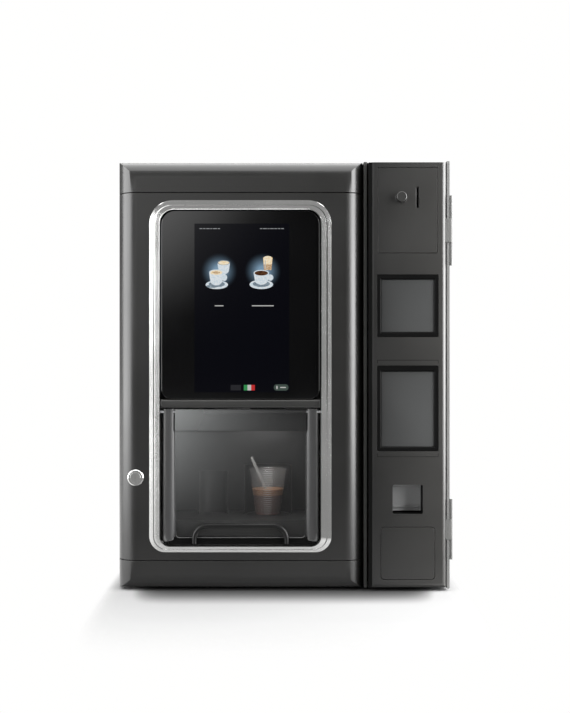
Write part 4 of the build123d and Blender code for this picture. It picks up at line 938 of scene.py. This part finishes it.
# Right group: a tall glass of latte behind, a black coffee on its saucer in front.
x = right_x
show("latte_glass", "latte", 2,
     [(x + 2, z + 2), (x + 15, z + 2), (x + 17, z + 24), (x + 0.5, z + 24)])
show("latte_foam", "foam", 3, oval(x + 8.8, z + 22, 8.2, 4.6),
     [(x + 1.6, z + 12), (x + 16, z + 12), (x + 16.6, z + 21), (x + 0.8, z + 21)])
show("latte_shine", "white", 4, bar(x + 3.5, x + 5, z + 4, z + 19))
show("coffee_saucer", "china", 4, oval(x - 2.5, z - 23, 20.5, 8))
show("coffee_saucer_well", "shade", 5, oval(x - 2.5, z - 22, 15, 5.4))
body, rim, drink = cup_outlines(x - 2.5, z - 22, 27, 19)
show("coffee_cup_body", "china", 6, body, oval(x + 13, z - 11, 5.5, 5.5))
show("coffee_cup_rim", "china", 7, rim)
show("coffee_cup_drink", "coffee", 8, drink)

# Plain bars where a menu has words, and the small signs of its lower edge.
TICK_GAP = 1.3
ticks = []
for start, widths in ((lit_left + 9, (5, 4, 6, 3, 7, 4)),
                      (lit_left + 114, (4, 7, 3, 6, 5, 4, 5))):
    for width in widths:
        ticks.append(bar(start, start + width, lit_top - 9.4, lit_top - 8.2))
        start += width + TICK_GAP
show("status_ticks", "tick", 1, *ticks)
show("label_bars", "white", 2, *(bar(x - half, x + half, z - 60.9, z - 59.3, 0.7)
                                 for x, half in ((left_x, 7.6), (right_x, 19.2))))
chip, foot, head, wide = lit_left + 86, lit_bottom + 3.4, lit_bottom + 13, 6.4
for i, colour in enumerate(("green", "white", "red")):
    show("chip_" + colour, colour, 2,
         bar(chip + i * wide, chip + i * wide + wide, foot, head))
show("chip_dark", "dim", 2, bar(chip - 23, chip - 5, foot, head))
show("pill", "pill", 2,
     bar(lit_right - 27, lit_right - 1.5, lit_bottom + 3, lit_bottom + 14, 5.2))
show("pill_signs", "white", 3, oval(lit_right - 21.5, lit_bottom + 8.5, 1.2, 3.2),
     bar(lit_right - 16, lit_right - 6, lit_bottom + 7.6, lit_bottom + 9.4))
print("menu pieces:", len(menu))

# %% [markdown]
# The flap is one smoked moulding: two half-oval side rails that close in a quarter round, a
# band along the top, a large window with a fine lip at its foot, and an arched grip. The
# lip catches real light with its shape, and its paler grey adds a painted highlight.
# The rails are lines of points joined by bands of faces; the foot and the band are blocks
# whose long front edges are bevelled round. The window is a thin tinted sheet behind them,
# clear enough low down to show the cup.

# %% Flap
RAIL_WIDE, RAIL_FRONT = 23.5, -263.9
RAIL_STEPS, FOOT_STEPS, FOOT_HEIGHT, FOOT_LEAST = 20, 8, 9.0, 0.12
BAND_LOW, BAND_FRONT, FOOT_HIGH = 279.0, -262.4, 96.5
SHEET_FRONT, SHEET_BACK, SHEET_LAP = -260.5, -257.6, 1.5
flap_low, flap_high = box_mm("flap_frame")


def block(shape, low, high):
    """Adds a box between two corners in mm and returns its vertices."""
    verts = bmesh.ops.create_cube(shape, size=1.0)["verts"]
    bmesh.ops.scale(shape, vec=[b - a for a, b in zip(low, high)], verts=verts)
    bmesh.ops.translate(shape, vec=[(a + b) / 2 for a, b in zip(low, high)], verts=verts)
    bmesh.ops.scale(shape, vec=(MM, MM, MM), verts=verts)
    return verts


def rounded_bar(shape, low, high, radius, segments=8):
    """A bar along X whose two long front edges are bevelled to a radius."""
    verts = block(shape, low, high)
    front = min(v.co.y for v in verts)
    roll_edges(shape, [
        edge for edge in {e for v in verts for e in v.link_edges}
        if abs((edge.verts[0].co - edge.verts[1].co).normalized().x) > 0.9
        and all(abs(v.co.y - front) < 1e-6 for v in edge.verts)], radius, segments)
    shade_by_angle(shape, 30.0)


def flap_rails(shape):
    """Two half-oval rails; each foot closes in a quarter round that catches a spot of light."""
    stations = [(flap_high.z - 0.2, 1.0)]
    for height, share in arc(FOOT_HEIGHT, 0.0, -FOOT_HEIGHT, 1.0, 90, 0, FOOT_STEPS):
        stations.append((flap_low.z + 3.0 + height, max(FOOT_LEAST, share)))
    deep = flap_high.y - RAIL_FRONT
    for left, right in ((flap_low.x + 0.2, flap_low.x + RAIL_WIDE),
                        (flap_high.x - RAIL_WIDE, flap_high.x - 0.2)):
        middle, half = (left + right) / 2, (right - left) / 2
        join_lines(shape, [
            [shape.verts.new((x * MM, y * MM, z * MM))
             for x, y in arc(middle, flap_high.y, half, -deep * share, 0, 180, RAIL_STEPS)]
            for z, share in stations])
    shade_by_angle(shape, 40.0)


def flap_foot(shape):
    rounded_bar(shape, (flap_low.x + 12, RAIL_FRONT + 3, flap_low.z + 0.2),
                (flap_high.x - 12, flap_high.y, FOOT_HIGH - 2), 2.5)


def flap_band(shape):
    rounded_bar(shape, (flap_low.x + RAIL_WIDE - 1.0, BAND_FRONT, BAND_LOW),
                (flap_high.x - RAIL_WIDE + 1.0, flap_high.y, flap_high.z - 0.4), 1.4, 4)


def flap_sheet(shape):
    block(shape, (flap_low.x + RAIL_WIDE - SHEET_LAP, SHEET_FRONT, FOOT_HIGH - 4),
          (flap_high.x - RAIL_WIDE + SHEET_LAP, SHEET_BACK, BAND_LOW + 1))


def flap_edge_line(shape):
    """The fine lip along the foot of the window, turned up at both ends; its paler grey is a
    painted highlight.
    """
    left, right = flap_low.x + RAIL_WIDE + 1.5, flap_high.x - RAIL_WIDE - 1.5
    foot, turn_up = FOOT_HIGH - 3.6, 5.0
    line = [(left, foot + turn_up + 6)]
    line += arc(left + turn_up, foot + turn_up, turn_up, turn_up, 180, 270, 6)
    line += [(left + right - x, z) for x, z in reversed(line)]
    join_lines(shape, [
        [shape.verts.new((x * MM, y * MM, (z + rise) * MM))
         for y, rise in ((-264.2, 0.0), (-263.9, 0.7), (-262.8, 0.9), (-262.8, -0.4))]
        for x, z in line])


for maker, slot, finish_name, *stands_for in (
        (flap_rails, "smoked_plastic", "flap_gloss", "flap_frame"),
        (flap_foot, "smoked_plastic", "module_frame"),
        (flap_band, "smoked_plastic", "flap_band"),
        (flap_sheet, "smoked_window", "smoked_window", "flap_window"),
        (flap_edge_line, "smoked_plastic", "flap_edge")):
    piece = new_object(maker.__name__, maker)
    mount(piece, "flap", slot, *stands_for, finish_name=finish_name)
print("flap in mm:", [round(v, 1) for v in (*flap_low, *flap_high)])

# %% Arched grip
GRIP_X, GRIP_HALF, GRIP_LOW, GRIP_HIGH, GRIP_WALL = -75.0, 84.0, 83.0, 117.6, 7.5
OUTER_CORNER, INNER_CORNER = 26, 20
# The section from the outside over a round front to the inside: share across, and depth.
GRIP_SECTION = (
    (0.0, -264.0), (0.0, -267.5), (0.12, -268.9), (0.32, -269.7), (0.55, -269.7),
    (0.8, -268.9), (1.0, -267.0), (1.0, -262.6), (0.0, -262.6))


def arch(half_wide, high, corner):
    """An arch from its left foot over a flat top to its right foot."""
    points = [(-half_wide, GRIP_LOW)]
    points += arc(corner - half_wide, high - corner, corner, corner, 180, 90, 10)
    return points + [(-x, z) for x, z in reversed(points)]


def arch_grip(shape):
    outer = arch(GRIP_HALF, GRIP_HIGH, OUTER_CORNER)
    inner = arch(GRIP_HALF - GRIP_WALL, GRIP_HIGH - GRIP_WALL, INNER_CORNER)
    join_lines(shape, [
        [shape.verts.new(((GRIP_X + xo + (xi - xo) * share) * MM, y * MM,
                          (zo + (zi - zo) * share) * MM)) for share, y in GRIP_SECTION]
        for (xo, zo), (xi, zi) in zip(outer, inner)])
    shade_by_angle(shape, 50.0)


mount(new_object("arch_grip", arch_grip), "flap", "smoked_plastic", finish_name="grip_gloss")
print("grip top in mm:", GRIP_HIGH)

# %% [markdown]
# The cup is a thin clear tumbler with fine ribs all the way down. A profile with one small
# wave per rib is spun round the cup's axis, outside and inside. A small lamp in the niche's
# roof lights it, as the machine's own light does.

# %% Ribbed cup
BASE_RADIUS, RIB_DEPTH, CUP_WALL, RIM_ROLL = 24 * MM, 0.55 * MM, 0.7 * MM, 1.3 * MM
RIB_FROM, RIBLESS, RIB_STEPS = 1.5 * MM, 9 * MM, 6
FLOOR_UNDER, FLOOR_TOP, FLOOR_SHARE = 2.2 * MM, 3.0 * MM, 0.8
cup_low, cup_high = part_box("cup")
cup_x, cup_y = (cup_low.x + cup_high.x) / 2, (cup_low.y + cup_high.y) / 2
rim_radius = (cup_high.x - cup_low.x) / 2
cup_height = cup_high.z - cup_low.z


def groove_radius(z):
    """The outer radius in a groove between two ribs, at a height above the cup's base."""
    slope = (rim_radius - RIM_ROLL - BASE_RADIUS) / cup_height
    return BASE_RADIUS + slope * z - RIB_DEPTH


def cup_profile():
    """(radius, height) from the middle of the base up the outside, over the rim and down."""
    points = [(0.0, FLOOR_UNDER), (BASE_RADIUS * FLOOR_SHARE, FLOOR_UNDER),
              (BASE_RADIUS * 0.86, 0.3 * MM), (BASE_RADIUS - 0.8 * MM, 0.0)]
    for i in range(int((cup_height - RIBLESS) / RIB_PITCH * RIB_STEPS) + 1):
        z = RIB_FROM + i * RIB_PITCH / RIB_STEPS
        wave = RIB_DEPTH * 0.5 * (1 - math.cos(2 * math.pi * i / RIB_STEPS))
        points.append((groove_radius(z) + wave, z))
    points.append((groove_radius(cup_height), cup_height - 2.6 * MM))
    points += arc(rim_radius - RIM_ROLL, cup_height - RIM_ROLL, RIM_ROLL, RIM_ROLL, -90, 180, 8)
    return points + [(groove_radius(cup_height) - CUP_WALL, cup_height - 3 * MM),
                     (groove_radius(5 * MM) - CUP_WALL, 5 * MM),
                     (BASE_RADIUS * FLOOR_SHARE, FLOOR_TOP), (0.0, FLOOR_TOP)]


def ribbed_cup(shape):
    line = [shape.verts.new((cup_x + r, cup_y, cup_low.z + z)) for r, z in cup_profile()]
    edges = [shape.edges.new(pair) for pair in zip(line, line[1:])]
    bmesh.ops.spin(shape, geom=line + edges, cent=(cup_x, cup_y, cup_low.z), axis=(0, 0, 1),
                   dvec=(0, 0, 0), angle=2 * math.pi, steps=72, use_merge=True,
                   use_duplicate=False)
    bmesh.ops.remove_doubles(shape, verts=shape.verts, dist=0.01 * MM)
    bmesh.ops.recalc_face_normals(shape, faces=shape.faces)
    shade_by_angle(shape, 60.0)


cup = mount(new_object("ribbed_cup", ribbed_cup), "cup_set", "clear_cup", "cup")
print("cup faces:", len(cup.data.polygons), "rim radius in mm:", round(rim_radius / MM, 1))

# %% Niche lamp
lamp_place = Vector((cup_x - 12 * MM, cup_y - 62 * MM, (flap_high.z - 28) * MM))
softbox("niche_lamp", lamp_place, (cup_x, cup_y, cup_low.z + 40 * MM), (0.10, 0.05), 13.0)
print("niche lamp at:", [round(v, 3) for v in lamp_place])

# %% [markdown]
# The lower payment module sits in a removable plate. Its outline is a fine dark seam on the
# column's front, taller than the module itself.

# %% Module outline
SEAM_WIDE, SEAM_PROUD, SEAM_DEEP = 0.8, 0.04, 0.5
OUTLINE_ABOVE, OUTLINE_BELOW, FRAME_LIP = 6.0, 6.3, 4.0
frame_low, frame_high = box_mm("lower_module_frame")
outline_left, outline_right = frame_low.x + FRAME_LIP, frame_high.x - FRAME_LIP
outline_low, outline_high = frame_low.z - OUTLINE_BELOW, frame_high.z + OUTLINE_ABOVE


def module_outline(shape):
    """One line across at each end, and short uprights between them and the module."""
    front = FRONT_Y / MM - SEAM_PROUD
    runs = [(outline_left, outline_right, outline_low, outline_low + SEAM_WIDE),
            (outline_left, outline_right, outline_high - SEAM_WIDE, outline_high)]
    for low, high in ((outline_low, frame_low.z), (frame_high.z, outline_high)):
        runs += [(outline_left, outline_left + SEAM_WIDE, low, high),
                 (outline_right - SEAM_WIDE, outline_right, low, high)]
    for left, right, low, high in runs:
        block(shape, (left, front, low), (right, front + SEAM_DEEP, high))


mount(new_object("module_outline", module_outline), "column_door", "black_plastic",
      finish_name="module_frame")
print("outline in mm:", round(outline_low, 1), "to", round(outline_high, 1))

# %% [markdown]
# Two narrow strips finish the column's long edges. A matt black strip runs down its left edge
# beside the door as painted shade, standing for the shadow in the gap there, and the
# housing's front flange on the right is drawn as a paler grey strip.

# %% Edge strips
SHADE_STRIP_WIDE, SHADE_STRIP_DEEP, FLANGE_DEPTH, FLANGE_GAP = 5.0, 6.0, 0.8, 0.9


# Painted shade: a matt black strip over the column's left edge, where the gap lies in shadow.
def painted_shade_strip(shape):
    block(shape, (column_low.x - 0.05, column_low.y - 0.05, column_low.z + 0.3),
          (column_low.x + SHADE_STRIP_WIDE, column_low.y + SHADE_STRIP_DEEP, column_high.z - 0.3))


def flange_strip(shape):
    block(shape, (column_high.x + FLANGE_GAP, housing_low.y - 0.03, housing_low.z + 0.5),
          (housing_high.x - 0.1, housing_low.y + FLANGE_DEPTH, housing_high.z - 0.5))


mount(new_object("painted_shade_strip", painted_shade_strip), "column_door", "black_plastic",
      finish_name="module_frame")
mount(new_object("flange_strip", flange_strip), "cabinet", "coated_steel",
      finish_name="edge_grey")
print("seal and strip, widths in mm:", SHADE_STRIP_WIDE,
      round(housing_high.x - 0.1 - column_high.x - FLANGE_GAP, 1))
